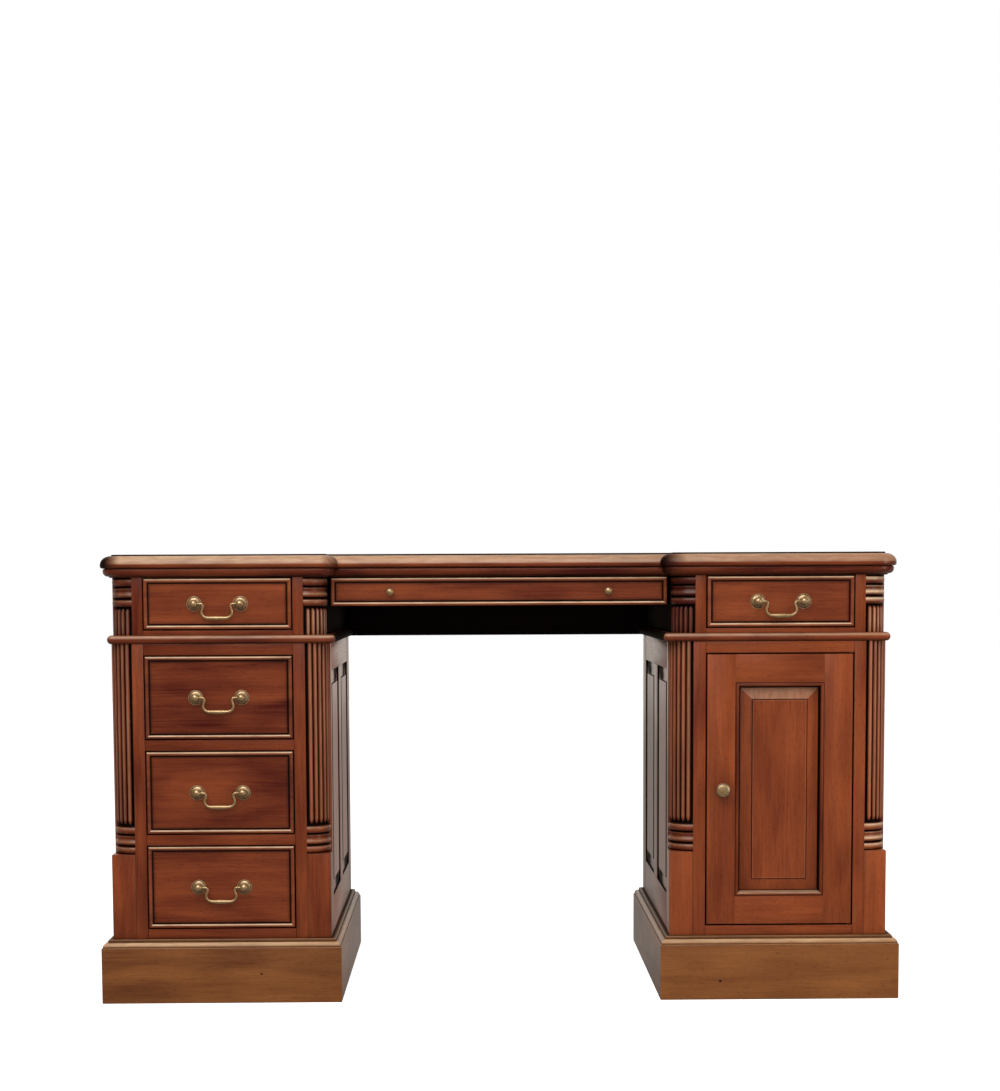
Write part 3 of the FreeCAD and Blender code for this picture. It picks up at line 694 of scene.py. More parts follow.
# The right outer post's rings are paled most: painted highlights from the lamp at the right, with some wear.
for name, side, looks in (
    ("left", -1, ((-1, 41.5, (-0.04, 0.1), 1), (1, 41.5, (0.1, -0.06), 1))),
    ("right", 1, ((1, 38.9, (0.3, 0.38), 4.0), (-1, 41.5, (0.02, 0.3), 1))),
):
    bm = new_bmesh()
    for way, wide, shades, wear_and_highlight_scale in looks:
        axis = side * CENTRE + way * (OPENING_HALF + STILE - POST_SHIFTS[side, way])
        post(bm, axis, way, 40.0, 40.4, (261, 311.5), (311.5, PEDESTAL_TOP), shades, (wear_and_highlight_scale, 0.22), wide)
    piece(bm, name + "_reeded_posts", *FRAME_WOOD, name + "_pedestal_posts")

bm = new_bmesh()
# The left outer post is toned darker, painted shade under the top's overhang. The right outer post's rings
# and reeds are paled most, painted highlights from the lamp at the right.
for side, way, shade, wear_and_highlight_scale in (
    (-1, -1, -0.24, (0.7, 0.2)),
    (-1, 1, -0.08, (1.2, 0.5)),
    (1, -1, -0.45, (0.4, 0.1)),
    (1, 1, 0.12, (6.0, 0.5)),
):
    axis = side * CENTRE + way * (OPENING_HALF + STILE - FRIEZE_SHIFT)
    post(bm, axis, way, 38.4, 39.8, (693, FRIEZE_TOP), (FRIEZE_BOTTOM, 693), (shade, shade), wear_and_highlight_scale)
piece(bm, "frieze_reeded_posts", *FRAME_WOOD, "frieze_posts")


# Frames with raised panels

def raised_panel(width, height, front_depth, back_depth, bevel, rise, shade,
                 fillet=1.2, lean=0.9, far=None):
    """A raised and fielded panel. It stands on the origin, looks to -Y, and its depths are
    counted from the face of its frame. fillet and lean are the height and the width of the
    step round the field, and far the side, 0 or 1, whose half of the top and bottom bevels is
    darkened: painted shade, as a dark reflection. Glaze and painted shade line the field and
    its step, and upward slopes get a painted highlight."""
    dark = 0.4 + 0.45 * fillet
    bm = new_bmesh()
    block(bm, (0, width), (front_depth, back_depth), (0, height))
    front = facing(bm.faces, (0, -1, 0))
    stepped(bm, front, [
        (1.2, 0.05, 0, 1), (2.0, 0.2, 0, 0.5), (3.0, 0.3, 0, 0.1),
        (bevel - 7.5 - lean, rise - fillet - 1, 0, 0), (0.8, 0.1, 0, dark), (lean, fillet, 0, dark),
        (0.5, 0.1, 0.07 * fillet, 0), (2.0, 0, 0, 0), (3.0, 0, 0, 0)], wax_and_shade=1)
    wear_and_highlight_upper(bm, 0.3)
    if far is not None:
        bevels = [face for face in bm.faces if 0.002 < abs(face.normal.z) < 0.1]
        mark_where(bm, bevels, lambda place: (0, 2.4 if (place.x > width / 2 * MM) == far else -1.6))
    lay_grain(bm, bm.faces, 2, shade)
    return bm


def towards(way):
    """Turns what looks to -Y to look to a side: -1 and 1 are -X and +X, 2 is +Y."""
    return Matrix.Rotation(math.radians({-1: -90, 1: 90, 2: 180}[way]), 4, "Z")


def side_frame(bm, x_face, way, shade):
    """One pedestal side: stiles and rails round two openings, seen from outside."""
    x = (x_face, x_face - way * BOARD)
    (near, left), (right, far) = PANEL_YS
    for y, z, along in (
        ((POST_AXIS_Y, near), PEDESTAL_Z, 2),
        ((far, REAR), PEDESTAL_Z, 2),
        ((left, right), PANEL_ZS, 2),
        ((near, far), PANEL_RAIL_ZS[0], 1),
        ((near, far), PANEL_RAIL_ZS[1], 1),
    ):
        board(bm, x, y, z, along, shade=shade)


def shade_frame_openings(bm):
    """Blackens the arrises round the two openings of a pedestal side: painted shadow lines where the panels
    sit in the frame.
    """
    bm.normal_update()
    ys = [y for pair in PANEL_YS for y in pair]
    chosen = []
    for face in bm.faces:
        _, y, z = middle_of(face)
        inside = ys[0] - 1 < y < ys[-1] + 1 and PANEL_ZS[0] - 1 < z < PANEL_ZS[1] + 1
        off = min([abs(y - edge) for edge in ys] + [abs(z - edge) for edge in PANEL_ZS])
        if abs(face.normal.x) < 0.9 and inside and off < 1.2:
            chosen.append(face)
    mark(bm, chosen, 0, 1)


def pedestal(name, side, shade):
    """The framed sides and back of a pedestal, with their panels."""
    panels = new_bmesh()
    wide, tall = PANEL_YS[0][1] - PANEL_YS[0][0], PANEL_ZS[1] - PANEL_ZS[0]
    for label, x_face, way, look in (
        ("outer", side * BODY_OUTER, side, (7.5, 14.5, 26, 5.0, shade)),
        ("inner", side * BODY_INNER, -side, (3.4, 14.5, 26, 3.0, shade, 2.2, 0.3, side < 0)),
    ):
        bm = new_bmesh()
        side_frame(bm, x_face, way, shade)
        if label == "inner":
            shade_frame_openings(bm)
        piece(bm, f"{name}_{label}_side_frame", *FRAME_WOOD, f"{name}_pedestal_{label}_side")
        for pair in PANEL_YS:
            place = moved(x_face, pair[0] if way > 0 else pair[1], PANEL_ZS[0]) @ towards(way)
            merge(panels, raised_panel(wide, tall, *look), place)
    centre = side * CENTRE
    place = moved(centre + BACK_PANEL_HALF, REAR, PANEL_ZS[0]) @ towards(2)
    merge(panels, raised_panel(2 * BACK_PANEL_HALF, tall, 7.5, 14.5, 26, 5, shade), place)
    piece(panels, name + "_raised_panels", *FRAME_WOOD, name + "_pedestal_panels")
    bm = new_bmesh()
    for way in (-1, 1):
        x = (centre + way * INTERIOR_HALF, centre + way * BACK_PANEL_HALF)
        board(bm, x, BACK_Y, PEDESTAL_Z, 2, shade=shade)
    for z in PANEL_RAIL_ZS:
        board(bm, (centre - BACK_PANEL_HALF, centre + BACK_PANEL_HALF), BACK_Y, z, 0, shade=shade)
    piece(bm, name + "_back_frame", *FRAME_WOOD, name + "_pedestal_back")


# The left pedestal is toned lighter than the right, so that their inner sides match the light in the
# kneehole: painted light.
pedestal("left", -1, 0.38)
pedestal("right", 1, -0.05)


# Plinths: mitred boards with a rounded and quirked top edge, and blocks glued in the corners

def plinth(name, side, shade, inner_shade):
    thick = 30
    bm = new_bmesh()
    x0, x1 = sorted((side * WING_INNER, side * DESK_HALF))
    block(bm, (x0, x1), (FRONT, BACK), (1, 97.4))
    top, bottom = facing(bm.faces, (0, 0, 1)), facing(bm.faces, (0, 0, -1))
    mark(bm, [face for face in bm.faces if face not in (top, bottom)], 0, 0)
    # The top edge's round is paled towards its top, a painted highlight with some wear, between quirks
    # darkened by glaze and painted shade.
    stepped(bm, top, [(0.3, 0.5, 0.2, 0), (0.4, 0.2, 0.2, 0), (1.1, 0.1, 0, 0.5), (0.1, 1.1, 0, 0.4)]
            + arc_steps(7.0, 7.2, 6, (0.1, 0.9), (0, 0))
            + [(1.2, 0, 0, 0.6), (0.1, 0.8, 0, 0.6), (0.3, 3.4, 0, 0.3), (0.6, 0.9, 0.1, 0.2),
               (0.9, 0.4, 0.1, 0.3), (4.6, 0, 0, 0.9), (13.4, 0, 0, 1)])
    stepped(bm, bottom, [(1.5, 1, 0, 0.5), (thick - 1.5, 0, 0, 0.3)], wax_and_shade=0.5)
    hollow(bm, top, bottom)

    # The mitres run from the outer corners to the inner ones, and part the four lengths.
    half_x, half_y = (x1 - x0) / 2, (BACK - FRONT) / 2
    centre = Vector((x0 + half_x, FRONT + half_y, 0))
    lengths = {}
    for face in bm.faces:
        x, y, _ = middle_of(face) - centre
        across = abs(x) / half_x > abs(y) / half_y
        if abs(x) < half_x - 35 and abs(y) < half_y - 35:
            across = abs(x) / (half_x - thick) > abs(y) / (half_y - thick)
        lengths.setdefault((1, x > 0) if across else (0, y > 0), []).append(face)
    for (along, beyond), faces in lengths.items():
        inner = along and beyond == (side < 0)
        lay_grain(bm, faces, along, inner_shade if inner else shade)
        # The length along the kneehole is paled less and toned darker: painted shade inside the kneehole.
        if inner:
            refinish(bm, faces, lambda _loop, wear_and_highlight, wax_and_shade, shade: (wear_and_highlight * 0.25, wax_and_shade, shade))
    for x, way in ((x0 + thick, 28), (x1 - thick, -28)):
        for y, back_way in ((FRONT + thick, 28), (BACK - thick, -28)):
            board(bm, (x, x + way), (y, y + back_way), (10, PLINTH_TOP), 2, shade=shade)
    wear_and_highlight_upper(bm, 0.2)
    piece(bm, name + "_plinth_boards", "desk_frame", "plinth_mahogany", plinth_wood, name + "_plinth")


plinth("left", -1, 0.08, 0)
plinth("right", 1, 0.12, -0.25)


# Waist boards: a half-round edge all round

def waist(name, side, shade):
    bm = new_bmesh()
    made = block(bm, (side * 286.5, side * 683), (-284, 290), (PEDESTAL_TOP, FRIEZE_BOTTOM))
    upright = {edge for vert in made for edge in vert.link_edges
               if abs(edge.verts[0].co.z - edge.verts[1].co.z) > 0.01}
    soften(bm, upright, 9, 8)
    for way in (1, -1):
        soften(bm, list(facing(bm.faces, (0, 0, way)).edges), 7.2, 6)

    # Along the half-round, a pale band near the top is a painted highlight and the lower third is darkened,
    # painted shade. The flat faces above and below are half darkened.
    def rule(place):
        t = (place.z / MM - PEDESTAL_TOP) / (FRIEZE_BOTTOM - PEDESTAL_TOP)
        if t > 0.97 or t < 0.01:
            return 0, 0.5
        return max(0, 0.45 - abs(t - 0.8) / 0.4), max(0, 0.35 - t) * 2

    mark_where(bm, bm.faces, rule)
    lay_grain(bm, bm.faces, 0, shade)
    wear_and_highlight_upper(bm, 0.1)
    # Inside the kneehole the edge gets the painted shadow black, like the boards above it.
    paint_shadow_faces(bm.faces, lambda face: abs(middle_of(face).x) < 297 and middle_of(face).y > -274)
    piece(bm, name + "_waist_moulding", *FRAME_WOOD, name + "_waist_board", second=kneehole_shadow)


waist("left", -1, -0.08)
waist("right", 1, 0)


# Carcase: face frames, floors, frieze boards, guides, shelf

def face_frame(name, side, shade):
    """The boards round a pedestal's openings, and its floor."""
    centre = side * CENTRE
    bm = new_bmesh()
    for way in (-1, 1):
        wide = STILE - POST_SHIFTS[side, way]
        x = (centre + way * OPENING_HALF, centre + way * (OPENING_HALF + wide))
        board(bm, x, FACE_Y, PEDESTAL_Z, 2, FINE_ARRIS, shade + (0.1 if side < 0 < way else 0))
    rails = [(PLINTH_TOP, FLOOR_TOP, 0), (OPENINGS_TOP, PEDESTAL_TOP, 0)]
    if side < 0:
        rails += [(low, high, paler) for (_, low), (high, _), paler in zip(TIERS, TIERS[1:], (0.1, -0.12))]
    for low, high, paler in rails:
        board(bm, opening(side), FACE_Y, (low, high), 0, FINE_ARRIS, shade + paler)
    edges = [FLOOR_TOP, OPENINGS_TOP] + [z for rail in rails[2:] for z in rail[:2]]
    wax_and_shade_gap_edges(bm, opening(side), edges)
    piece(bm, name + "_face_frame_boards", *FRAME_WOOD, name + "_face_frame")
    bm = new_bmesh()
    x = (centre - INTERIOR_HALF, centre + INTERIOR_HALF)
    board(bm, x, (FACE_Y[1], CARCASE_BACK), (PLINTH_TOP, FLOOR_TOP), 0)
    piece(bm, name + "_floor_board", *FRAME_WOOD, name + "_bottom_board")


def guide(bm, centre, way, z, rail):
    """A strip beside a drawer and, as high as the rail below the drawer, one under it."""
    wall, edge = centre + way * INTERIOR_HALF, centre + way * OPENING_HALF
    board(bm, (wall, edge), GUIDE_Y, (z, z + 16))
    if rail:
        board(bm, (wall, edge - way * 14), GUIDE_Y, (z - rail, z))


def frieze():
    """What stands round the frieze's two outer drawers."""
    near, far = INTERIOR
    frames, outers, dividers, backs, guides = [new_bmesh() for _ in range(5)]
    for side, shade in ((-1, 0), (1, 0.08)):
        centre = side * CENTRE
        for way in (-1, 1):
            x = (centre + way * OPENING_HALF, centre + way * (OPENING_HALF + STILE - FRIEZE_SHIFT))
            # The left outer stile is toned darker: painted shade under the top's overhang.
            darker = 0.28 if side == way == -1 else 0.0
            board(frames, x, FACE_Y, FRIEZE_Z, 2, FINE_ARRIS, shade - darker)
            guide(guides, centre, way, FRIEZE_RAIL_TOP, FRIEZE_RAIL_TOP - FRIEZE_BOTTOM)
        board(frames, opening(side), FACE_Y, (FRIEZE_BOTTOM, FRIEZE_RAIL_TOP), 0, FINE_ARRIS, shade)
        x = (side * far, side * (BODY_OUTER - FRIEZE_SHIFT))
        board(outers, x, (POST_AXIS_Y, REAR), FRIEZE_Z, 1, shade=shade)
        x = (side * (BODY_INNER + FRIEZE_SHIFT), side * near)
        divider = board(dividers, x, (POST_AXIS_Y, REAR), FRIEZE_Z, 1, shade=shade)
        # Divider faces seen from the kneehole get the painted shadow black.
        paint_shadow_faces(divider, lambda face: face.normal.x * side < -0.5 or face.normal.y < -0.3)
        board(backs, (side * near, side * far), BACK_Y, FRIEZE_Z, 0, shade=shade)
    wax_and_shade_gap_edges(frames, [x for side in (-1, 1) for x in opening(side)], (FRIEZE_RAIL_TOP,))
    piece(frames, "frieze_frame_boards", *FRAME_WOOD, "frieze_face_frames")
    piece(outers, "frieze_side_boards", *FRAME_WOOD, "frieze_outer_sides")
    piece(dividers, "frieze_divider_boards", *FRAME_WOOD, "frieze_dividers", second=kneehole_shadow)
    piece(backs, "frieze_rear_boards", *FRAME_WOOD, "frieze_back_boards")
    piece(guides, "frieze_guide_strips", *FRAME_LINING, "frieze_drawer_guides")


def kneehole_apron():
    """The boards at the back of the kneehole. Their front gets a nearly black painted shadow, so it
    reads as shadow from the front."""
    bm = new_bmesh()
    half = BODY_INNER + FRIEZE_SHIFT
    board(bm, (-half, half), BACK_Y, FRIEZE_Z, 0)
    board(bm, (-BODY_INNER, BODY_INNER), (CARCASE_BACK, 290), (PEDESTAL_TOP, FRIEZE_BOTTOM), 0)
    paint_shadow_faces(bm.faces, lambda face: face.normal.y < 0.3)
    piece(bm, "kneehole_apron_boards", *FRAME_WOOD, "kneehole_back_rail", second=kneehole_shadow)


def runners():
    """The strips that guide the left pedestal's drawers and carry the centre drawer."""
    bm = new_bmesh()
    for i, (z, _) in enumerate(TIERS):
        for way in (-1, 1):
            guide(bm, -CENTRE, way, z, 19 if i else 0)
    piece(bm, "left_guide_strips", *FRAME_LINING, "left_drawer_guides")

    bm = new_bmesh()
    for side in (-1, 1):
        x = (side * (BODY_INNER + FRIEZE_SHIFT), side * 290.8)
        board(bm, x, (-213.7, CARCASE_BACK), (707.5, 717.5))
    # The strips' front ends get the kneehole's painted shadow black.
    paint_shadow_faces(bm.faces, lambda face: face.normal.y < -0.3)
    piece(bm, "centre_runner_strips", *FRAME_LINING, "centre_drawer_runners", second=kneehole_shadow)


def cupboard():
    """The shelf with its cleats, the door's catch, and the pins and washers it turns on."""
    near, far = INTERIOR
    bottom, top = 391.5, 406.5
    bm = new_bmesh()
    board(bm, (near, far), SHELF_Y, (bottom, top), 0)
    piece(bm, "cupboard_shelf_board", *FRAME_WOOD, "cupboard_shelf")
    bm = new_bmesh()
    for x in ((near, near + 14), (far - 14, far)):
        board(bm, x, SHELF_Y, (bottom - 20, bottom))
    piece(bm, "shelf_cleat_strips", *FRAME_LINING, "shelf_cleats")

    bm = new_bmesh()
    board(bm, (345, 360), (-257, -245), (376.5, top), 2, 1.2)
    board(bm, (359, 375), (-258.7, -245), (376.5, top), 2, 1.2)
    piece(bm, "door_catch_housing", "desk_frame", "catch_plastic", abs_plastic, "door_catch")

    bm = new_bmesh()
    for z, radius, length in ((117.5, 2.0, 25.2), (596.8, 2.0, 25.2), (129.5, 4.0, 1.2), (608.8, 4.0, 1.2)):
        # The pins are browned all over, so they stay dark in the door's gap: painted shade.
        section = [(radius, 0, 0, 1), (radius, length, 0, 1)]
        turned_section(bm, section, (613.5, -274, z), (0, 0, 1), 360, 20)
    piece(bm, "door_pivot_pins", "desk_frame", "antique_brass", brass, "door_pivots")


face_frame("left", -1, -0.02)
face_frame("right", 1, 0.16)
frieze()
kneehole_apron()
runners()
cupboard()


# Brass fittings

def paint_shade_below(bm, amount):
    """Browns and darkens the undersides of a fitting by how far they face down: painted shade, with a painted
    reflection of the red wood below.
    """
    bm.normal_update()

    def rule(loop, wear_and_highlight, wax_and_shade, shade):
        return wear_and_highlight, wax_and_shade + amount * max(0, 0.35 - loop.vert.normal.z), shade

    refinish(bm, bm.faces, rule)


def fitting(bm, section, place):
    """Turned work that stands out of a front, with its bolt and nut behind it. A section
    runs outwards from the wood, as radius, distance and how far the brass is browned."""
    for points, sides in (
        (section, 32),
        ([(2.0, -23, 0.5), (2.0, 0, 0.5)], 16),
        ([(5.0, -23, 0.5), (5.0, -20, 0.3)], 6),
    ):
        marked = [(radius, out, 0, wax_and_shade) for radius, out, wax_and_shade in points]
        turned_section(bm, marked, place, (0, -1, 0), 360, sides)


# Sections of the fittings: a rosette with its ball post, and the two kinds of knob
ROSETTE = [
    (14.7, 0, 0.8), (14.7, 0.9, 0.5), (14.0, 1.5, 0.1), (12.0, 1.9, 0.2), (11.3, 1.7, 1),
    (10.7, 2.0, 0.4), (9.7, 2.9, 0), (7.6, 3.6, 0.2), (5.6, 4.0, 0.8), (4.9, 4.6, 0.8)]
ROSETTE += [(7.3 * math.sin(t), 10 - 7.3 * math.cos(t), max(0, 0.6 - i * 0.15))
            for i, t in ((i, math.radians(40 + i * 10)) for i in range(15))]
DISC_KNOB = [
    (10.6, 0, 0.8), (10.2, 0.8, 0.5), (8.4, 2.0, 0.7), (6.6, 4.0, 0.9), (6.2, 7.0, 0.9),
    (7.4, 10.0, 0.6), (10.2, 13.0, 0.4), (12.7, 14.8, 0.2), (13.4, 16.4, 0), (13.2, 18.0, 0),
    (12.4, 19.0, 0.8), (11.8, 19.2, 0.7), (10.6, 20.0, 0.2), (8.2, 20.9, 0.1), (5.6, 21.6, 0.1),
    (2.8, 22.0, 0.1), (0, 22.1, 0.1)]
BALL_KNOB = [
    (5.9, 0, 0.8), (5.6, 0.4, 0.5), (3.6, 2.0, 0.9), (3.9, 2.9, 0.8), (5.6, 4.2, 0.4),
    (6.6, 5.9, 0.2), (7.0, 8.0, 0), (6.7, 10.0, 0), (5.8, 12.0, 0), (4.3, 13.6, 0),
    (2.3, 14.7, 0), (0, 15.0, 0)]


def brass_work(name, body, replaced, section, places, underside_shade):
    """Fittings of one section, turned into a piece."""
    bm = new_bmesh()
    for place in places:
        fitting(bm, section, place)
    paint_shade_below(bm, underside_shade)
    piece(bm, name, body, "antique_brass", brass, replaced, smooth_under=40)


def bail(name, centre_x, z, body):
    """The swinging handle: a cast rod that swells at the grip."""
    half = [(36, 0, 1.5), (31, 0.2, 1.8), (25.5, 0, 2.2), (23.4, -3.6, 2.2), (25.0, -9.0, 2.15),
            (26.6, -14.0, 2.15), (25.6, -19.0, 2.2), (21.5, -23.0, 2.4), (16.5, -24.4, 2.8),
            (11.0, -24.7, 3.3), (5.0, -24.8, 3.65), (0, -24.8, 3.7)]
    line = half + [(-u, w, r) for u, w, r in reversed(half[:-1])]
    data = bpy.data.curves.new("bail_line", "CURVE")
    data.dimensions = "3D"
    data.bevel_depth = MM
    data.bevel_resolution = 5
    data.resolution_u = 5
    data.use_fill_caps = True
    spline = data.splines.new("NURBS")
    spline.points.add(len(line) - 1)
    for point, (u, w, r) in zip(spline.points, line):
        point.co = ((centre_x + u) * MM, (FACE - 10) * MM, (z + w) * MM, 1)
        point.radius = r
    spline.order_u = 3
    spline.use_endpoint_u = True
    holder = show("bail_line", data)
    mesh = bpy.data.meshes.new_from_object(holder)
    bpy.data.objects.remove(holder)
    bpy.data.curves.remove(data)
    bm = new_bmesh()
    bm.from_mesh(mesh)
    bpy.data.meshes.remove(mesh)
    bmesh.ops.remove_doubles(bm, verts=bm.verts, dist=1e-6)
    paint_shade_below(bm, 0.45)
    piece(bm, name + "_bail_rod", body, "antique_brass", brass, name + "_bail", smooth_under=60)


# Drawers

def drawer_front(name, x, z, y_face, shade):
    """A front with a raised bead round its edge and a dark quirk inside the bead. Its edges in the
    gap and the quirk are darkened with glaze and painted shade, and the bead's upward slopes get
    a painted highlight.
    """
    bm = new_bmesh()
    block(bm, x, (y_face - 0.7, y_face + FRONT_THICK), z)
    cut_across(bm, 1, y_face + GAP_WAX_AND_SHADE)
    front = facing(bm.faces, (0, -1, 0))
    # The edges that line the gap are made black: painted shade.
    mark(bm, [face for face in bm.faces if face is not front], 0, 1)
    stepped(bm, front, [
        (0.5, 0.4, 0, 1), (0.4, 0.8, 0, 0.3), (0.9, 0.6, 0.03, 0), (1.2, 0.35, 0.03, 0),
        (1.3, 0.05, 0.03, 0), (1.2, -0.35, 0.03, 0), (1, -0.8, 0, 0.1), (0.5, -0.9, 0, 0.9),
        (2.0, -0.1, 0, 1), (0.5, 0.9, 0, 0.8), (1.6, 0, 0, 0.3), (4.0, 0, 0, 0),
        (6.0, 0, 0, 0)], wax_and_shade=1)
    lay_grain(bm, bm.faces, 0, shade, 0.03)
    wear_and_highlight_upper(bm, 1)
    mark(bm, [face for face in bm.faces if middle_of(face).y > y_face + GAP_WAX_AND_SHADE], 0, 0.15)
    piece(bm, name + "_beaded_front", name, "mahogany", mahogany, name + "_front")


def drawer_box(name, x, y, z, groove=None):
    """Sides, back and bottom of a drawer in plain wood. A groove is a range of height."""
    bm = new_bmesh()
    layers = [(0, z)]
    if groove:
        layers = [(0, (z[0], groove[0])), (0.5, groove), (0, (groove[1], z[1]))]
    for edge, side in ((x[0], DRAWER_SIDE), (x[1], -DRAWER_SIDE)):
        for sunk, height in layers:
            board(bm, (edge + sunk * side, edge + side), y, height, 1)
    inside = (x[0] + DRAWER_SIDE, x[1] - DRAWER_SIDE)
    board(bm, inside, (y[1] - DRAWER_SIDE, y[1]), (z[0] + 8, z[1]), 0)
    board(bm, inside, (y[0], y[1] - DRAWER_SIDE), (z[0] + 8, z[0] + 14), 0, 0.3)
    piece(bm, name + "_lining", name, "drawer_lining", lining_wood, name + "_box")


def handled_drawer(label, side, tier, shade):
    """A drawer with a bail handle between rosettes."""
    name = label + "_drawer"
    x, z = fitted(*opening(side)), fitted(*tier)
    centre, height = side * CENTRE, sum(tier) / 2
    drawer_front(name, x, z, FACE, shade)
    drawer_box(name, x, (FACE + FRONT_THICK, DRAWER_BACK), (tier[0] + 0.3, tier[1] - 15.5))
    places = [(centre + way * 40, FACE, height) for way in (-1, 1)]
    brass_work(name + "_rosettes", name, name + "_handle_posts", ROSETTE, places, 0.55)
    bail(name, centre, height, label + "_bail")


handled_drawer("left_frieze", -1, (FRIEZE_RAIL_TOP, FRIEZE_TOP), 0.03)
handled_drawer("right_frieze", 1, (FRIEZE_RAIL_TOP, FRIEZE_TOP), 0.02)
handled_drawer("lower", -1, TIERS[0], 0.03)
handled_drawer("middle", -1, TIERS[1], -0.08)
handled_drawer("upper", -1, TIERS[2], -0.13)


def centre_drawer():
    """The shallow drawer over the kneehole, grooved for its runners, with two ball knobs."""
    name = "centre_drawer"
    x = fitted(-BODY_INNER, BODY_INNER)
    drawer_front(name, x, (693.5, 743.5), CENTRE_FACE, 0.02)
    drawer_box(name, x, (CENTRE_FACE + FRONT_THICK, DRAWER_BACK), (693.5, 742), (707.2, 717.8))
    places = [(side * 192, CENTRE_FACE, 718.5) for side in (-1, 1)]
    brass_work("centre_drawer_brass_knobs", name, "centre_drawer_knobs", BALL_KNOB, places, 0.45)


centre_drawer()


# Door

def door():
    """A framed door with a raised panel in a moulding, hung at the right, and its knob."""
    (x0, x1), (z0, z1) = fitted(*opening(1)), fitted(FLOOR_TOP, OPENINGS_TOP)
    y = (FACE, FACE + FRONT_THICK)
    shade = 0.2
    wide, slack = 50.5, 0.8
    bm = new_bmesh()
    for near, far in ((x0 + slack, x0 + wide), (x1 - slack, x1 - wide)):
        board(bm, (near, far), y, (z0 + slack, z1 - slack), 2, FINE_ARRIS, shade)
    for near, far in ((z0 + slack, z0 + wide), (z1 - wide, z1 - slack)):
        board(bm, (x0 + wide, x1 - wide), y, (near, far), 0, FINE_ARRIS, shade)
    wax_and_shade_gap_edges(bm, (x0, x1), (z0, z1))
    piece(bm, "door_frame_boards", "door", "mahogany", mahogany, "door_frame")

    width, height = x1 - x0 - 2 * wide, z1 - z0 - 2 * wide
    place = moved(x0 + wide, FACE, z0 + wide)
    bm = new_bmesh()
    merge(bm, raised_panel(width, height, 12.8, 13.5, 31, 10.2, 0.1), place)
    piece(bm, "door_raised_panel", "door", "mahogany", mahogany, "door_panel")

    bm = new_bmesh()
    block(bm, (0, width), (0, 12.7), (0, height))
    front, back = facing(bm.faces, (0, -1, 0)), facing(bm.faces, (0, 1, 0))
    mark(bm, bm.faces, 0, 0.9)
    stepped(bm, front, [
        (0.8, 0.3, 0, 0.5), (0.5, 0.7, 0, 0.4), (0.7, 0.8, 0, 0.2), (1.1, 0.5, 0, 0.15),
        (1.1, 0.1, 0, 0.15), (1.1, -0.5, 0, 0.15), (0.9, -1.1, 0, 0.2), (0.6, -1.6, 0, 0.9),
        (0.3, -1.4, 0, 1), (1.2, -3.0, 0, 1), (0.4, -2.0, 0, 1), (0.8, -1.5, 0, 1)], wax_and_shade=1)
    stepped(bm, back, [(9.5, 0, 0, 1)], wax_and_shade=1)
    hollow(bm, front, back)
    upright, level = [], []
    for face in bm.faces:
        x, _, z = middle_of(face)
        stands = min(x, width - x) < 11 < min(z, height - z)
        (upright if stands else level).append(face)
    lay_grain(bm, upright, 2, 0.02, 0.02)
    lay_grain(bm, level, 0, 0.02, 0.02)
    bmesh.ops.transform(bm, matrix=place, verts=bm.verts)
    # The bottom length's slope looks up into the light: its glaze is thinned and it gets a painted highlight.
    bm.normal_update()
    slopes = [face for face in bm.faces if face.normal.z > 0.3 and middle_of(face).y < FACE + 7.2]
    mark(bm, [face for face in slopes if middle_of(face).z < 300], 0, 0.25)
    wear_and_highlight_upper(bm, 0.75, 300)
    piece(bm, "door_panel_moulding", "door", "mahogany", mahogany, "door_moulding")

    brass_work("door_brass_knob", "door", "door_knob", DISC_KNOB, [(389, FACE, (z0 + z1) / 2)], 0.4)


door()


# Studio

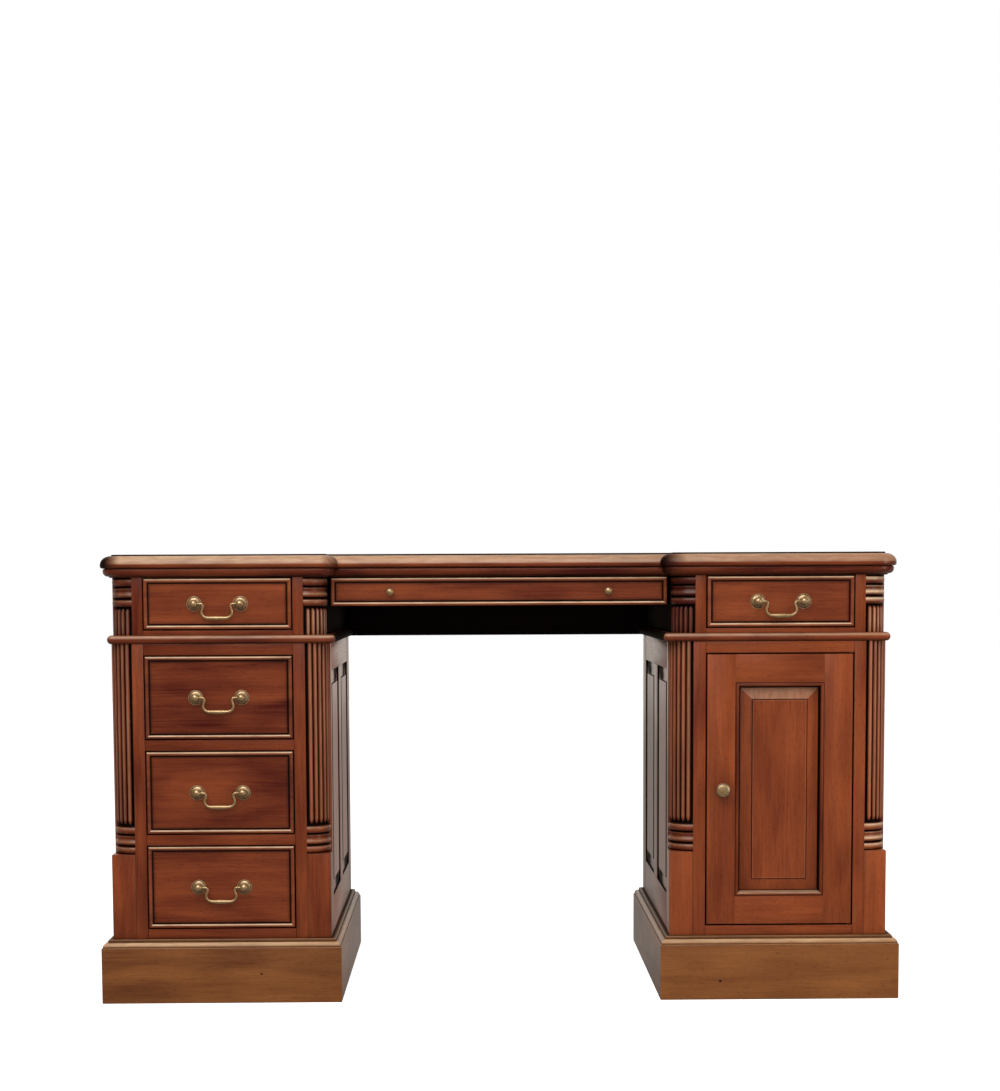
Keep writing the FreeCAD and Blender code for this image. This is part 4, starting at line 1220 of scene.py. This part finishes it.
def studio():
    scene = bpy.context.scene
    scene.view_settings.view_transform = "Standard"
    white, warm = (1, 1, 1, 1), colour("#fff4e8")

    bm = bmesh.new()
    bmesh.ops.create_grid(bm, x_segments=1, y_segments=1, size=9.0)
    mesh = bpy.data.meshes.new("studio_floor")
    bm.to_mesh(mesh)
    bm.free()
    floor = show("studio_floor", mesh)
    material, tree = new_material("studio_floor_paper")
    rays = add(tree, "LightPath").outputs
    seen = worked(tree, "MAXIMUM", rays["Is Camera Ray"], rays["Is Transmission Ray"])
    lit = add(tree, "BsdfDiffuse", {"Color": colour("#d8d8d8")})
    glow = add(tree, "Emission", {"Color": white, "Strength": 0.85})
    both = add(tree, "AddShader", {0: lit.outputs[0], 1: glow.outputs[0]})
    depth = split(tree, coordinate(tree, "Object"))[1]
    dim = add(tree, "Emission", {"Color": warm, "Strength": span(tree, depth, -0.7, 0.3, 0.12, 0.5)})
    plain = add(tree, "MixShader", {0: rays["Is Glossy Ray"], 1: lit.outputs[0], 2: dim.outputs[0]})
    mixed = add(tree, "MixShader", {0: seen, 1: plain.outputs[0], 2: both.outputs[0]})
    add(tree, "OutputMaterial", {0: mixed.outputs[0]})
    mesh.materials.append(material)

    world = bpy.data.worlds.new("studio")
    world.use_nodes = True
    tree = world.node_tree
    tree.nodes.clear()
    rays = add(tree, "LightPath").outputs
    away = split(tree, coordinate(tree, "Generated"))[1]
    backdrop = span(tree, away, 0.5, 0.98, 0.05, 0.95)
    shown = worked(tree, "MAXIMUM", rays["Is Glossy Ray"], rays["Is Transmission Ray"])
    level = add(tree, "Mix", {0: shown, 2: 0.42, 3: backdrop}, data_type="FLOAT")
    level = add(tree, "Mix", {0: rays["Is Camera Ray"], 2: level.outputs[0], 3: 1.0}, data_type="FLOAT")
    sky = add(tree, "Background", {"Color": blend(tree, shown, white, warm), "Strength": level.outputs[0]})
    add(tree, "OutputWorld", {0: sky.outputs[0]})
    scene.world = world

    for name, place, aim, size, power in (
        ("overhead_softbox", (-0.7, -2.5, 3.3), (0, -0.2, 0.5), (3.6, 3.2), 125.0),
        ("front_fill", (0.2, -5.2, 1.9), (0, -0.3, 0.4), (2.6, 2.6), 36.0),
        ("right_softbox", (3.0, -1.9, 1.1), (0.2, -0.2, 0.4), (0.9, 2.0), 26.0),
    ):
        lamp = bpy.data.lights.new(name, "AREA")
        lamp.shape = "RECTANGLE"
        lamp.size, lamp.size_y = size
        lamp.energy = power
        holder = show(name, lamp)
        holder.location = place
        holder.rotation_euler = (Vector(aim) - Vector(place)).to_track_quat("-Z", "Y").to_euler()
        holder.visible_glossy = name != "front_fill"


def camera():
    """The photograph's eye: level with the drawers, a little left of the middle."""
    pitch, yaw, roll = (math.radians(a) for a in (4.763, 0.736, -0.254))
    ahead = Vector((math.sin(yaw) * math.cos(pitch), math.cos(yaw) * math.cos(pitch), -math.sin(pitch)))
    right = Vector((math.cos(yaw), -math.sin(yaw), 0))
    up = right.cross(ahead)
    image_right = right * math.cos(roll) + up * math.sin(roll)
    image_up = up * math.cos(roll) - right * math.sin(roll)
    data = bpy.data.cameras.new("camera")
    data.sensor_fit = "VERTICAL"
    data.sensor_height = 36.0
    data.lens = 66.215
    data.shift_y = 0.1903
    holder = show("camera", data)
    turn = Matrix((image_right, image_up, -ahead)).transposed().to_4x4()
    holder.matrix_world = Matrix.Translation((-0.0453, -3.7781, 0.7281)) @ turn
    bpy.context.scene.camera = holder


studio()
camera()
